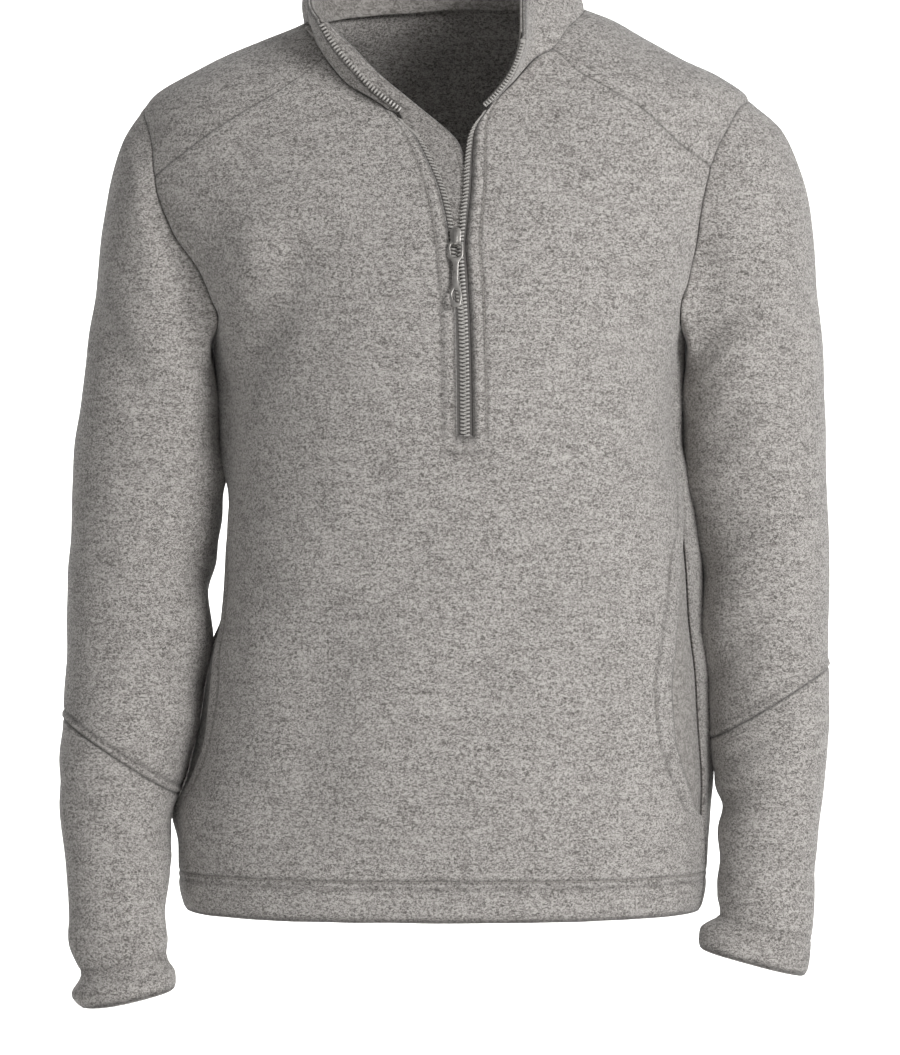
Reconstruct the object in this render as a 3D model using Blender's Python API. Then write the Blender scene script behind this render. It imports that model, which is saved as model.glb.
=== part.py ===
"""Quarter-zip fleece pullover, hollow and in the form it takes when worn.

Frame: metres, +Z up, the front faces -Y, the wearer's left is +X. The origin lies between
the shoulders, level with the top of the shoulder at the neck. Tables are in millimetres.

Every piece of cloth is a thin wall. The body's pieces share one surface, torso(), which is
worked out from a table of sections; each piece is a patch of it, bounded by its own seams.
The sleeves are rings between an outer and an inner arm line, and the collar rises from the
neck seam to a table of heights.
"""

import bpy
import bmesh
import numpy as np
from mathutils import Vector
from mathutils.geometry import tessellate_polygon

MM = 0.001

# Cloth: walls, seams and layers, measured inwards from the outer face
FLEECE = 2.2 * MM
HEM_FLEECE = 3.0 * MM       # the turned hem is thicker than the plain wall
COLLAR_WALL = 2.0 * MM
SEAM_SHIFT = 0.15 * MM      # each side of a seam draws back this much
SEAM_LIFT = 0.3 * MM
TAPE_DEPTH = 2.8 * MM
TAPE_WALL = 0.8 * MM
GUARD_WALL = 1.6 * MM
BAG_DEPTH = 3.5 * MM
BAG_WALL = 1.2 * MM
FACING_DEPTH = 3.4 * MM
FACING_WALL = 1.6 * MM

# Body sections from the hem up: height, half-widths to the wearer's right and left, and
# depths in front of and behind the side line
ROUNDNESS = 2.3
SECTIONS = (
    # height, right, left, front, back
    (-692.5, 204, 192, 124, 117),
    (-670, 208, 196, 126, 118),
    (-620, 209, 199, 128, 118),
    (-590, 199, 198, 128, 117),
    (-550, 190, 195, 128, 115),
    (-500, 184, 191, 127, 112),
    (-470, 177, 188, 127, 110),
    (-414, 172, 183, 129, 110),
    (-366, 169, 177, 133, 113),
    (-333, 169, 170, 136, 116),
    (-300, 170, 170, 138, 120),
    (-251, 175, 175, 139, 126),
    (-209, 200, 190, 136, 129),
    (-174, 226, 203, 130, 130),
    (-141, 239, 214, 122, 128),
    (-117, 242, 222, 115, 125),
    (-90, 240, 231, 106, 120),
    (-71, 229, 229, 99, 116),
    (-55, 205, 208, 93, 111),
    (-40, 176, 178, 87, 105),
    (-25, 143, 150, 80, 98),
    (-12, 112, 126, 73, 91),
    (4, 100, 90, 64, 82),
    (14, 78, 76, 56, 74),
)

# Largest folds of the body: middle, turn from level, length, width and rise (a hollow is
# below zero) of each, on the front (-1) or the back (+1)
BODY_FOLDS = (
    # face, x, z, turn, length, width, rise
    (-1, -158, -222, 68, 130, 20, 5.0),
    (-1, -132, -236, 62, 120, 20, -3.5),
    (-1, 163, -214, 112, 130, 20, 4.0),
    (-1, 138, -232, 116, 110, 20, -3.0),
    (-1, -100, -540, 82, 190, 26, -3.5),
    (-1, 136, -612, -12, 130, 20, -3.5),
    (-1, -112, -428, -31, 130, 20, 2.5),
    (-1, 60, -470, 58, 200, 34, -2.5),
    (-1, -20, -585, -6, 240, 30, 2.0),
    (1, -150, -225, 110, 140, 22, 4.5),
    (1, 150, -222, 70, 140, 22, 4.5),
    (1, -112, -240, 104, 150, 24, -4.5),
    (1, 110, -236, 76, 150, 24, -4.5),
    (1, 10, -455, 4, 230, 22, -5.0),
    (1, -24, -500, -7, 250, 24, 5.0),
    (1, 30, -545, 6, 220, 22, -4.0),
    (1, -60, -600, 14, 180, 26, 3.0),
)

# Seams and edges, as angle round the body from the front centre, and height
SIDE_SEAMS = (
    # height, right seam, left seam
    (-692.5, -94, 76),
    (-430, -94, 77),
    (-330, -93, 84),
    (-251, -90, 90),
)
SIDE_LEVELS = (-692.5, -665, -644, -622, -600, -575, -545, -515, -485, -455, -425, -398,
               -372, -335, -290, -251)
POCKET_MOUTH = (
    # share of the way down, angle that the edge stands forward of the side seam
    (0.0, 0.0), (0.13, 3.0), (0.22, 8.0), (0.32, 11.0), (0.45, 15.5), (0.61, 20.0),
    (0.73, 19.5), (0.82, 17.0), (0.9, 13.0), (0.97, 7.0), (1.0, 0.0),
)
MOUTH_TOP, MOUTH_BOTTOM = -372 * MM, -622 * MM
ZIP_LEVELS = (-692.5, -665, -640, -612, -584, -556, -528, -500, -472, -444, -416, -388,
              -360, -333, -290, -250, -210, -180, -155, -130, -110)
ZIP_EDGES = (
    # height, x of the cloth's edge to the wearer's right and left of the zip
    (-333, 4.5, 18.0),
    (-290, 4.0, 17.3),
    (-245, 3.4, 16.2),
    (-210, 1.0, 14.2),
    (-190, -1.0, 12.8),
    (-172, -3.7, 14.4),
    (-147, -9.6, 17.0),
    (-123, -19.3, 17.9),
    (-108, -27.0, 19.0),
    (-92, -40.5, 23.0),
    (-86, -46.0, 29.0),
)
RIGHT_KINK = (-9.7, -91.8)
LEFT_KINK = (7.2, -86.0)
FRONT_ARMHOLES = {
    # from the underarm to the end of the shoulder seam
    "right": ((-90, -251), (-77, -248), (-69, -236), (-66.5, -213), (-66.3, -190), (-65, -165),
              (-64, -135)),
    "left": ((90, -251), (77, -248), (68.5, -234), (66.6, -212), (66.3, -194), (63, -165),
             (60, -128)),
}
YOKE_ARMHOLES = {
    # from the end of the shoulder seam up to the top of the shoulder
    "right": ((-64, -135), (-64.5, -117), (-69, -96), (-78, -81), (-90, -74)),
    "left": ((60, -128), (60.5, -113), (63, -94), (72, -78), (90, -71)),
}
BACK_ARMHOLES = {
    # from the top of the shoulder down to the underarm
    "right": ((-90, -74), (-106, -82), (-117, -104), (-121, -142), (-118, -184), (-111, -221),
              (-100, -244), (-90, -251)),
    "left": ((90, -71), (106, -80), (117, -102), (121, -140), (118, -182), (111, -220),
             (100, -243), (90, -251)),
}
SHOULDER_SEAMS = {
    # from the armhole to the neck, set forward of the shoulder's ridge
    "right": ((-64, -135), (-52, -117), (-44, -101), (-37, -85), (-31.5, -69), (-29.3, -57),
              (-28.5, -47)),
    "left": ((60, -128), (49, -114), (41.4, -99), (36, -84), (29.7, -70), (25.9, -57.5),
             (24.6, -41)),
}
FRONT_NECK = {
    # from the shoulder seam to the zip
    "right": ((-28.5, -47), (-23.5, -58), (-18.2, -71.5), (-13.5, -82), RIGHT_KINK),
    "left": ((24.6, -41), (19.6, -47), (14.4, -59.5), (10.4, -73.5), LEFT_KINK),
}
YOKE_NECK = {
    # from the ridge of the shoulder to the shoulder seam
    "right": ((-90, -10), (-70, -13), (-52, -21), (-37.7, -32), (-28.5, -47)),
    "left": ((90, 2), (70, -3), (51, -11), (36, -23), (24.6, -41)),
}
BACK_NECK = ((90, 2), (120, 7), (150, 11), (180, 12), (210, 9), (240, 1), (270, -10))

# Collar: how its top edge lies, from the wearer's right front corner round the back
COLLAR_TOP = (
    # share of the way round, x, y, z
    (0.0, -98, -108, -27),
    (0.12, -108, -74, -4),
    (0.24, -107, -34, 22),
    (0.36, -92, 18, 50),
    (0.45, -50, 62, 72),
    (0.5, -4, 74, 79),
    (0.56, 44, 66, 80),
    (0.66, 77, 24, 70),
    (0.76, 73, -24, 50),
    (0.88, 57, -82, 8),
    (1.0, 56, -142, -40),
)
COLLAR_SWELL = 5 * MM
COLLAR_ROWS = 4
FACING_START = 9 * MM       # the zip's tapes take this much at each end of the inner collar

# Arms: outer and inner arm line (x, z), and the middle and half-depth of each ring
SLEEVE_RINGS = {
    "right": (
        # outer_x, outer_z, inner_x, inner_z, middle_y, half_depth
        (-233, -74, -171, -251, 2, 62),
        (-251, -101, -177, -266, 4, 65),
        (-261, -132, -178, -283, 6, 66),
        (-269, -175, -178, -304, 8, 66),
        (-276, -232, -177, -328, 10, 65),
        (-283, -286, -175, -354, 12, 63),
        (-290, -340, -175, -385, 12, 61),
        (-292, -383, -179, -421, 10, 60),
        (-293, -419, -183, -461, 6, 59),
        (-295, -460, -188, -504, 0, 57),
        (-296, -502, -194, -551, -8, 55),
        (-296, -546, -208, -604, -15, 52),
        (-298, -569, -212, -618, -21, 49),
        (-299, -594, -213, -632, -27, 46),
        (-296, -624, -213, -646, -34, 42),
        (-293, -654, -213, -664, -41, 38),
        (-291, -686, -216, -689, -48, 34),
        (-289, -714, -214, -708, -54, 31),
        (-280, -738, -213, -725, -58, 28),
        (-286, -752, -207, -736, -61, 30),
        (-279, -763, -206, -747, -63, 30),
    ),
    "left": (
        (227, -71, 172, -251, 2, 62),
        (254, -94, 177, -266, 4, 65),
        (268, -121, 178, -283, 6, 66),
        (279, -161, 178, -304, 8, 66),
        (284, -215, 179, -329, 10, 65),
        (289, -267, 181, -356, 12, 63),
        (290, -317, 186, -388, 12, 61),
        (290, -363, 189, -425, 10, 60),
        (291, -414, 193, -467, 6, 58),
        (293, -460, 197, -511, 0, 56),
        (292, -506, 199, -562, -8, 53),
        (291, -534, 201, -583, -15, 50),
        (289, -564, 203, -601, -22, 47),
        (285, -599, 206, -622, -29, 44),
        (280, -636, 206, -650, -36, 40),
        (278, -668, 203, -672, -43, 36),
        (274, -705, 204, -691, -50, 31),
        (272, -718, 190, -704, -53, 32),
        (269, -738, 188, -717, -55, 31),
    ),
}
FOREARM_SEAM = {"right": 11.0, "left": 10.0}     # the ring that the diagonal seam follows
CUFF_STITCH = {"right": 18.0, "left": 16.0}      # the ring where the turned cuff is sewn
CAP_BLEND = 3.0                                  # rings over which the armhole's line fades
SLEEVE_FOLDS = {
    # ring, angle from the outer line towards the front, slope, spread, width, rise
    "right": (
        (4.2, 60, 0.8, 70, 0.5, -3.0), (5.2, 150, -0.5, 60, 0.5, 4.0),
        (7.6, 170, 0.6, 75, 0.45, -4.0), (8.6, 165, 0.5, 70, 0.45, 3.5),
        (9.5, 60, -0.5, 65, 0.5, -3.0), (13.2, 40, 0.5, 60, 0.5, -2.5),
        (15.6, 80, -0.4, 90, 0.45, -2.0), (8.0, -60, 0.4, 70, 0.5, 3.0),
    ),
    "left": (
        (4.4, 70, 0.8, 70, 0.5, -3.0), (5.4, 150, -0.5, 60, 0.5, 4.0),
        (7.2, 165, 0.6, 75, 0.45, -4.0), (8.3, 160, 0.5, 70, 0.45, 3.5),
        (9.0, 50, -0.5, 65, 0.5, -2.5), (12.4, 150, 0.5, 60, 0.45, -3.5),
        (13.6, 120, -0.4, 80, 0.45, 2.5), (7.6, -60, 0.4, 70, 0.5, 3.0),
    ),
}

# Grid counts
SHOULDER_COLUMNS, NECK_COLUMNS, BACK_NECK_COLUMNS = 6, 4, 8
ARMHOLE_ROWS, YOKE_ROWS, BACK_ARMHOLE_ROWS = 6, 4, 9
SLIT_ROW = 13
UPPER_SLEEVE_RINGS, FOREARM_RINGS = 16, 11
ROW_BEND = 3.0              # how fast a panel's top edge shape fades going down
BACK_ROW_BEND = (6.0, 2.2)  # the same for the back's angles and heights
UNDERARM_ROW = len(SIDE_LEVELS) - 1
UNDERARM_DROOP = 30 * MM    # rows sag beside the underarm, where the armhole runs level
DROOP_ROWS, DROOP_SHARE = 1.4, 0.2

# Pocket bags, hung inside the front: rows and columns of the front's grid that they follow,
# and the heights of the top edge at the side seam and at the inner corner
BAG_FULL_ROWS, BAG_COLUMNS = 8, 9
BAG_TOP = (-408, -470)
BAG_TOP_EASE = 0.8 * MM

# Zip: tape widths past the cloth's edge, and the guard behind the wearer's right side
TAPE_UNDER = 7 * MM
TAPE_REACH = (
    # height, right, left
    (-345, 6.2, 6.2), (-250, 6.0, 6.0), (-200, 3.4, 6.2), (-178, 3.2, 6.4), (-162, 3.0, 8.0),
    (-112, 2.4, 8.0), (-98, 2.6, 6.8), (-80, 2.0, 6.8),
)
COLLAR_TAPE_REACH = 2.6 * MM
COLLAR_TAPE_DEPTH, COLLAR_TAPE_WALL = COLLAR_WALL + 0.9 * MM, 0.6 * MM
TAPE_FROM = -341 * MM
TAPE_END = 0.8              # share of the last row before the neck seam that the tape covers
GUARD_DEPTH = TAPE_DEPTH + TAPE_WALL + 0.6 * MM
COLLAR_GUARD_DEPTH = COLLAR_TAPE_DEPTH + COLLAR_TAPE_WALL + 0.6 * MM
GUARD_RECESS = 3.4 * MM     # the sewn edge sinks behind the tapes where they turn
GUARD_TURN = 1              # rows below the neck seam that the turn to the collar takes
GUARD_REACH = (
    # height, x of the guard's free edge on the body
    (-345, 22), (-250, 22), (-210, 20), (-180, 18), (-152, 15), (-118, 8.5), (-80, -20),
)
GUARD_TOP = (
    # x, y, z of the guard's free edge from there to the collar's corner
    (-9, -104.5, -98), (-19, -103.0, -88.5), (-38, -101.5, -74), (-52, -102.0, -62),
    (-66, -103.0, -48), (-81, -104.5, -33), (-91.5, -105.5, -22.5),
)

# Slider and pull tab
SLIDER_X, SLIDER_Z = 4.2 * MM, -185.5 * MM
SLIDER_HALF_WIDTH, SLIDER_HALF_HEIGHT = 4.3 * MM, 7.4 * MM
SLIDER_BACK, SLIDER_FRONT = -2.4 * MM, 1.7 * MM
BRIDGE_HALF_WIDTH, BRIDGE_WALL = 1.4 * MM, 1.1 * MM
HINGE_DROP, HINGE_RISE = 5.2 * MM, 3.0 * MM
PULL_THICKNESS = 1.5 * MM
PULL_TILT = 0.02            # radians that the tab leans off the cloth below it

GREY = (0.470, 0.452, 0.430)
DARK_GREY = (0.300, 0.290, 0.278)
TAPE_GREY = (0.330, 0.322, 0.310)
METAL_GREY = (0.360, 0.350, 0.335)


# ---------------------------------------------------------------- curves and surfaces

def smooth(table, at, column):
    """A column of a table, read between its rows along a curve that never overshoots."""
    rows = np.asarray(table, float)
    keys, values, at = rows[:, 0], rows[:, column], np.asarray(at, float)
    step = np.diff(keys)
    slope = np.diff(values) / step
    tangent = np.zeros_like(values)
    before, after = slope[:-1], slope[1:]
    ahead, behind = 2 * step[1:] + step[:-1], step[1:] + 2 * step[:-1]
    same = before * after > 0
    tangent[1:-1][same] = ((ahead + behind)[same]
                           / (ahead[same] / before[same] + behind[same] / after[same]))
    tangent[0], tangent[-1] = slope[0], slope[-1]
    k = np.clip(np.searchsorted(keys, at, side="right") - 1, 0, len(keys) - 2)
    t = (at - keys[k]) / step[k]
    return ((2 * t ** 3 - 3 * t ** 2 + 1) * values[k]
            + (t ** 3 - 2 * t ** 2 + t) * step[k] * tangent[k]
            + (3 * t ** 2 - 2 * t ** 3) * values[k + 1]
            + (t ** 3 - t ** 2) * step[k] * tangent[k + 1])


def through(points, count, weights=1.0):
    """count + 1 points spread evenly along a smooth curve through the given ones. weights
    scale the axes when lengths along the curve are measured."""
    points = np.asarray(points, float)
    lengths = np.linalg.norm(np.diff(points * np.asarray(weights), axis=0), axis=1)
    places = np.concatenate([[0], np.cumsum(lengths)])
    table = np.column_stack([places, points])
    at = np.linspace(0, places[-1], count + 1)
    return np.stack([smooth(table, at, i + 1) for i in range(points.shape[1])], axis=-1)


def seam(points, count):
    """A seam given as degrees and millimetres, as count + 1 points in radians and metres."""
    metres_per_degree = 0.0021
    found = through(points, count, (metres_per_degree, MM))
    return np.stack([np.radians(found[:, 0]), found[:, 1] * MM], axis=-1)


def plain_torso(angle, height):
    """The body's outer surface without its folds."""
    mm = height / MM
    right, left, front, back = (smooth(SECTIONS, mm, i) * MM for i in range(1, 5))
    side, fore = np.sin(angle), np.cos(angle)
    fit = (np.abs(side) ** ROUNDNESS + np.abs(fore) ** ROUNDNESS) ** (-1 / ROUNDNESS)
    x = np.where(side > 0, left, right) * side * fit
    y = -np.where(fore > 0, front, back) * fore * fit
    return np.stack([x, y, height + 0 * x], axis=-1)


def unit(vectors):
    """Vectors along the last axis, made one long."""
    return vectors / np.maximum(np.linalg.norm(vectors, axis=-1, keepdims=True), 1e-12)


def torso_normal(angle, height):
    """The outward direction of the plain body surface."""
    turn, rise = 0.02, 2 * MM
    round_it = plain_torso(angle + turn, height) - plain_torso(angle - turn, height)
    up_it = plain_torso(angle, height + rise) - plain_torso(angle, height - rise)
    return unit(np.cross(round_it, up_it))


def body_folds(points):
    """How far the body's large folds stand out of the plain surface."""
    x, y, z = points[..., 0] / MM, points[..., 1] / MM, points[..., 2] / MM
    rise = np.zeros_like(x)
    for face, fold_x, fold_z, turn, length, width, height in BODY_FOLDS:
        along = np.cos(np.radians(turn)) * (x - fold_x) + np.sin(np.radians(turn)) * (z - fold_z)
        across = np.cos(np.radians(turn)) * (z - fold_z) - np.sin(np.radians(turn)) * (x - fold_x)
        shown = np.clip(face * y / 30, 0, 1)
        rise += height * shown * np.exp(-(across / width) ** 2 - (2 * along / length) ** 4)
    return rise * MM


def torso(angle, height):
    """The body's outer surface and its outward directions."""
    angle, height = np.broadcast_arrays(np.asarray(angle, float), np.asarray(height, float))
    plain = plain_torso(angle, height)
    normal = torso_normal(angle, height)
    return plain + normal * body_folds(plain)[..., None], normal


def front_angle(x, height):
    """The angle at which the front surface has this x at this height."""
    x, height = np.asarray(x, float), np.asarray(height, float)
    half = np.where(x > 0, smooth(SECTIONS, height / MM, 2), smooth(SECTIONS, height / MM, 1))
    share = np.clip(np.abs(x) / (half * MM), 0, 0.9999) ** ROUNDNESS
    return np.sign(x) * np.arctan((share / (1 - share)) ** (1 / ROUNDNESS))


def patch(bottom, top, outer, inner, bend=1.0):
    """A grid between four edges, rows going from bottom to top and columns from outer to
    inner. With a high bend, the shape of the top edge fades quickly below it."""
    rows, columns = len(outer), len(top)
    up = np.linspace(0, 1, rows)[:, None, None]
    over = np.linspace(0, 1, columns)[None, :, None]
    base = outer[:, None] * (1 - over) + inner[:, None] * over
    straight = np.linspace(0, 1, columns)[:, None]
    low = bottom - (bottom[0] * (1 - straight) + bottom[-1] * straight)
    high = top - (top[0] * (1 - straight) + top[-1] * straight)
    bend = np.asarray(bend, float)
    return base + low[None] * (1 - up) ** bend + high[None] * up ** bend


# ---------------------------------------------------------------- building solids

def new_material(name, colour, roughness, metallic=0.0):
    """A plain material of the part's colour."""
    material = bpy.data.materials.new(name)
    material.use_nodes = True
    shader = material.node_tree.nodes["Principled BSDF"]
    shader.inputs["Base Color"].default_value = (*colour, 1)
    shader.inputs["Roughness"].default_value = roughness
    shader.inputs["Metallic"].default_value = metallic
    return material


def add_object(name, vertices, faces, material):
    """A mesh object whose faces point out of its one closed body."""
    mesh = bpy.data.meshes.new(name)
    mesh.from_pydata([tuple(v) for v in vertices], [], faces)
    work = bmesh.new()
    work.from_mesh(mesh)
    bmesh.ops.recalc_face_normals(work, faces=work.faces)
    work.to_mesh(mesh)
    work.free()
    mesh.shade_smooth()
    mesh.set_sharp_from_angle(angle=0.9)
    mesh.materials.append(material)
    built = bpy.data.objects.new(name, mesh)
    bpy.context.scene.collection.objects.link(built)
    return built


def add_wall(name, outer, inner, quads, material):
    """A closed wall between two sheets that share their faces, with its edges filled. Both
    sheets part a quad along the same diagonal, the outer one's clearly shorter one if there
    is such, so they stay as far apart as their points are."""
    used = sorted({i for quad in quads for i in quad})
    place = {old: new for new, old in enumerate(used)}
    count = len(used)
    triangles, seen = [], {}
    for quad in quads:
        a, b, c, d = (place[i] for i in quad)
        first = np.linalg.norm(outer[quad[0]] - outer[quad[2]])
        second = np.linalg.norm(outer[quad[1]] - outer[quad[3]])
        if second < 0.9 * first:
            triangles += [(a, b, d), (b, c, d)]
        else:
            triangles += [(a, b, c), (a, c, d)]
        for edge in ((a, b), (b, c), (c, d), (d, a)):
            key = tuple(sorted(edge))
            seen[key] = seen.get(key, 0) + 1
    rim = []
    for (a, b), uses in seen.items():
        if uses == 1:
            rim += [(b, a, a + count), (b, a + count, b + count)]
    back = [tuple(i + count for i in reversed(triangle)) for triangle in triangles]
    vertices = np.concatenate([outer[used], inner[used]])
    return add_object(name, vertices, triangles + back + rim, material)


def grid_quads(index, closed=False):
    """The faces of a grid of vertex numbers, closed round its columns if asked."""
    quads = []
    rows, columns = index.shape
    for j in range(rows - 1):
        for i in range(columns if closed else columns - 1):
            k = (i + 1) % columns
            quads.append((index[j, i], index[j, k], index[j + 1, k], index[j + 1, i]))
    return [tuple(int(n) for n in quad) for quad in quads]


def grid_normals(points):
    """The directions across an open grid of points, from its own rows and columns."""
    return unit(np.cross(np.gradient(points, axis=0), np.gradient(points, axis=1)))


def draw_back(points, sides, amount=SEAM_SHIFT):
    """Moves the edge rows and columns of a grid towards its inside. sides holds any of
    bottom, top, first and last."""
    moved = points.copy()
    if "bottom" in sides:
        moved[0] += unit(points[1] - points[0]) * amount
    if "top" in sides:
        moved[-1] += unit(points[-2] - points[-1]) * amount
    if "first" in sides:
        moved[:, 0] += unit(points[:, 1] - points[:, 0]) * amount
    if "last" in sides:
        moved[:, -1] += unit(points[:, -2] - points[:, -1]) * amount
    return moved


def hem_thickness(heights):
    """The body wall's thickness, which grows where the hem is turned up."""
    return np.where(heights < (SIDE_LEVELS[1] + 1) * MM, HEM_FLEECE, FLEECE)


# ---------------------------------------------------------------- the body's seams

def side_seam(side):
    """A side seam from the hem to the underarm, as angle and height."""
    heights = np.array(SIDE_LEVELS, float)
    angles = smooth(SIDE_SEAMS, heights, 1 if side == "right" else 2)
    return np.stack([np.radians(angles), heights * MM], axis=-1)


def mouth_edge(side):
    """The front panel's side edge, cut back to form the pocket's mouth."""
    edge = side_seam(side)
    down = np.clip((MOUTH_TOP - edge[:, 1]) / (MOUTH_TOP - MOUTH_BOTTOM), 0, 1)
    forward = np.radians(smooth(POCKET_MOUTH, down, 1))
    edge[:, 0] += forward if side == "right" else -forward
    return edge


def zip_edge(side):
    """The front panel's inner edge, from the hem up the zip to the neck seam."""
    heights = np.array(ZIP_LEVELS, float)
    column = 1 if side == "right" else 2
    x = smooth(ZIP_EDGES, np.maximum(heights, ZIP_EDGES[0][0]), column) * MM
    edge = np.stack([front_angle(x, heights * MM), heights * MM], axis=-1)
    kink = RIGHT_KINK if side == "right" else LEFT_KINK
    return np.concatenate([edge, [[np.radians(kink[0]), kink[1] * MM]]])


def side_lengths():
    """Heights, and how long the body's side outline is from the hem up to each."""
    heights = np.arange(SECTIONS[0][0], SECTIONS[-1][0] + 1, 1.0)
    widths = (smooth(SECTIONS, heights, 1) + smooth(SECTIONS, heights, 2)) / 2
    steps = np.hypot(np.diff(widths), np.diff(heights))
    return heights * MM, np.concatenate([[0], np.cumsum(steps)]) * MM


def unrolled(place):
    """Places with their heights turned into lengths along the side outline, in which the
    level top of a shoulder is as wide as it really is."""
    heights, lengths = side_lengths()
    return np.stack([place[..., 0], np.interp(place[..., 1], heights, lengths)], axis=-1)


def rolled_up(place):
    """The reverse of unrolled."""
    heights, lengths = side_lengths()
    return np.stack([place[..., 0], np.interp(place[..., 1], lengths, heights)], axis=-1)


def droop(rows, share):
    """How far grid points near the underarm lie lower, so that no cell there folds over.
    share is the way across from the side seam."""
    near_row = np.exp(-((np.arange(rows) - UNDERARM_ROW) / DROOP_ROWS) ** 2)[:, None]
    near_side = share / DROOP_SHARE * np.exp(1 - share / DROOP_SHARE) * (1 - share)
    return -UNDERARM_DROOP * near_row * near_side[None, :]


def front_half(side):
    """One half of the front as a grid of angle and height, outer edge first."""
    outer = np.concatenate([mouth_edge(side), seam(FRONT_ARMHOLES[side], ARMHOLE_ROWS)[1:]])
    inner = zip_edge(side)
    top = np.concatenate([seam(SHOULDER_SEAMS[side], SHOULDER_COLUMNS),
                          seam(FRONT_NECK[side], NECK_COLUMNS)[1:]])
    share = np.linspace(0, 1, len(top))[:, None]
    bottom = outer[0] * (1 - share) + inner[0] * share
    place = patch(bottom, top, outer, inner, ROW_BEND)
    place[..., 1] += droop(len(outer), share[:, 0])
    return place


def mirrored_turn(points):
    """The same places with angles counted on round the back, past half a turn."""
    return np.stack([np.where(points[..., 0] < 0, points[..., 0] + 2 * np.pi, points[..., 0]),
                     points[..., 1]], axis=-1)


def back_grid():
    """The back below the shoulders' ridges, from the left side seam to the right one."""
    edges = {}
    for side in ("left", "right"):
        armhole = seam(BACK_ARMHOLES[side], BACK_ARMHOLE_ROWS)[::-1]
        edges[side] = mirrored_turn(np.concatenate([side_seam(side), armhole[1:]]))
    ridge = {}
    for side in ("left", "right"):
        ends = (BACK_ARMHOLES[side][0], YOKE_NECK[side][0])
        ridge[side] = mirrored_turn(seam(ends, SHOULDER_COLUMNS))
    top = np.concatenate([ridge["left"], seam(BACK_NECK, BACK_NECK_COLUMNS)[1:],
                          ridge["right"][::-1][1:]])
    share = np.linspace(0, 1, len(top))[:, None]
    bottom = edges["left"][0] * (1 - share) + edges["right"][0] * share
    place = rolled_up(patch(unrolled(bottom), unrolled(top), unrolled(edges["left"]),
                            unrolled(edges["right"]), BACK_ROW_BEND))
    for way in (share[:, 0], share[::-1, 0]):
        place[..., 1] += droop(len(place), np.minimum(2 * way, 1))
    return place


def yoke_grid(side):
    """The part of the back that comes over a shoulder, from the ridge to the seam."""
    ridge = seam((BACK_ARMHOLES[side][0], YOKE_NECK[side][0]), SHOULDER_COLUMNS)
    joined = seam(SHOULDER_SEAMS[side], SHOULDER_COLUMNS)
    outer = seam(YOKE_ARMHOLES[side], YOKE_ROWS)[::-1]
    inner = seam(YOKE_NECK[side], YOKE_ROWS)
    return patch(ridge, joined, outer, inner)


def armhole_loop(side):
    """The whole armhole, from the underarm up the front and down the back."""
    return np.concatenate([seam(FRONT_ARMHOLES[side], ARMHOLE_ROWS)[:-1],
                           seam(YOKE_ARMHOLES[side], YOKE_ROWS)[:-1],
                           seam(BACK_ARMHOLES[side], BACK_ARMHOLE_ROWS)[:-1]])


def neck_line():
    """The neck seam from the wearer's right side of the zip round to the left side."""
    back = mirrored_turn(seam(BACK_NECK, BACK_NECK_COLUMNS))[::-1]
    right = np.concatenate([seam(FRONT_NECK["right"], NECK_COLUMNS)[::-1],
                            seam(YOKE_NECK["right"], YOKE_ROWS)[::-1][1:]])
    left = np.concatenate([seam(YOKE_NECK["left"], YOKE_ROWS)[1:],
                           seam(FRONT_NECK["left"], NECK_COLUMNS)[1:]])
    return np.concatenate([right, back[1:], left])


# ---------------------------------------------------------------- pieces

def build_front(material):
    """The front panel, in one piece below the zip and parted along it."""
    outer_points, inner_points, indexes = [], [], {}
    start = 0
    for side in ("right", "left"):
        place = front_half(side)
        points, normals = torso(place[..., 0], place[..., 1])
        points = draw_back(points, ("top", "first"))
        thickness = hem_thickness(place[..., 1])[..., None]
        outer_points.append(points.reshape(-1, 3))
        inner_points.append((points - normals * thickness).reshape(-1, 3))
        indexes[side] = start + np.arange(points[..., 0].size).reshape(points.shape[:2])
        start += points[..., 0].size
    quads = grid_quads(indexes["right"]) + grid_quads(indexes["left"][:, ::-1])
    below = np.stack([indexes["right"][:SLIT_ROW + 1, -1], indexes["left"][:SLIT_ROW + 1, -1]],
                     axis=1)
    quads += grid_quads(below)
    return add_wall("front_panel", np.concatenate(outer_points), np.concatenate(inner_points),
                    quads, material)


def build_back(material):
    """The back panel, which comes over both shoulders to the forward seams."""
    place = back_grid()
    points, normals = torso(place[..., 0], place[..., 1])
    points = draw_back(points, ("first", "last"))
    neck = slice(SHOULDER_COLUMNS, SHOULDER_COLUMNS + BACK_NECK_COLUMNS + 1)
    points[-1, neck] += unit(points[-2, neck] - points[-1, neck]) * SEAM_SHIFT
    outer = [points.reshape(-1, 3)]
    inner = [(points - normals * hem_thickness(place[..., 1])[..., None]).reshape(-1, 3)]
    index = np.arange(points[..., 0].size).reshape(points.shape[:2])
    quads = grid_quads(index)
    start = index.size
    for side in ("left", "right"):
        place = yoke_grid(side)
        points, normals = torso(place[..., 0], place[..., 1])
        points = draw_back(points, ("top", "first", "last"))
        yoke = np.zeros(points.shape[:2], int)
        ridge = index[-1, :SHOULDER_COLUMNS + 1]
        if side == "right":
            ridge = index[-1, ::-1][:SHOULDER_COLUMNS + 1]
        yoke[0] = ridge
        yoke[1:] = start + np.arange(points[1:, :, 0].size).reshape(points[1:].shape[:2])
        start += points[1:, :, 0].size
        outer.append(points[1:].reshape(-1, 3))
        inner.append((points[1:] - normals[1:] * FLEECE).reshape(-1, 3))
        quads += grid_quads(yoke if side == "left" else yoke[:, ::-1])
    return add_wall("back_panel", np.concatenate(outer), np.concatenate(inner), quads, material)


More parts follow.
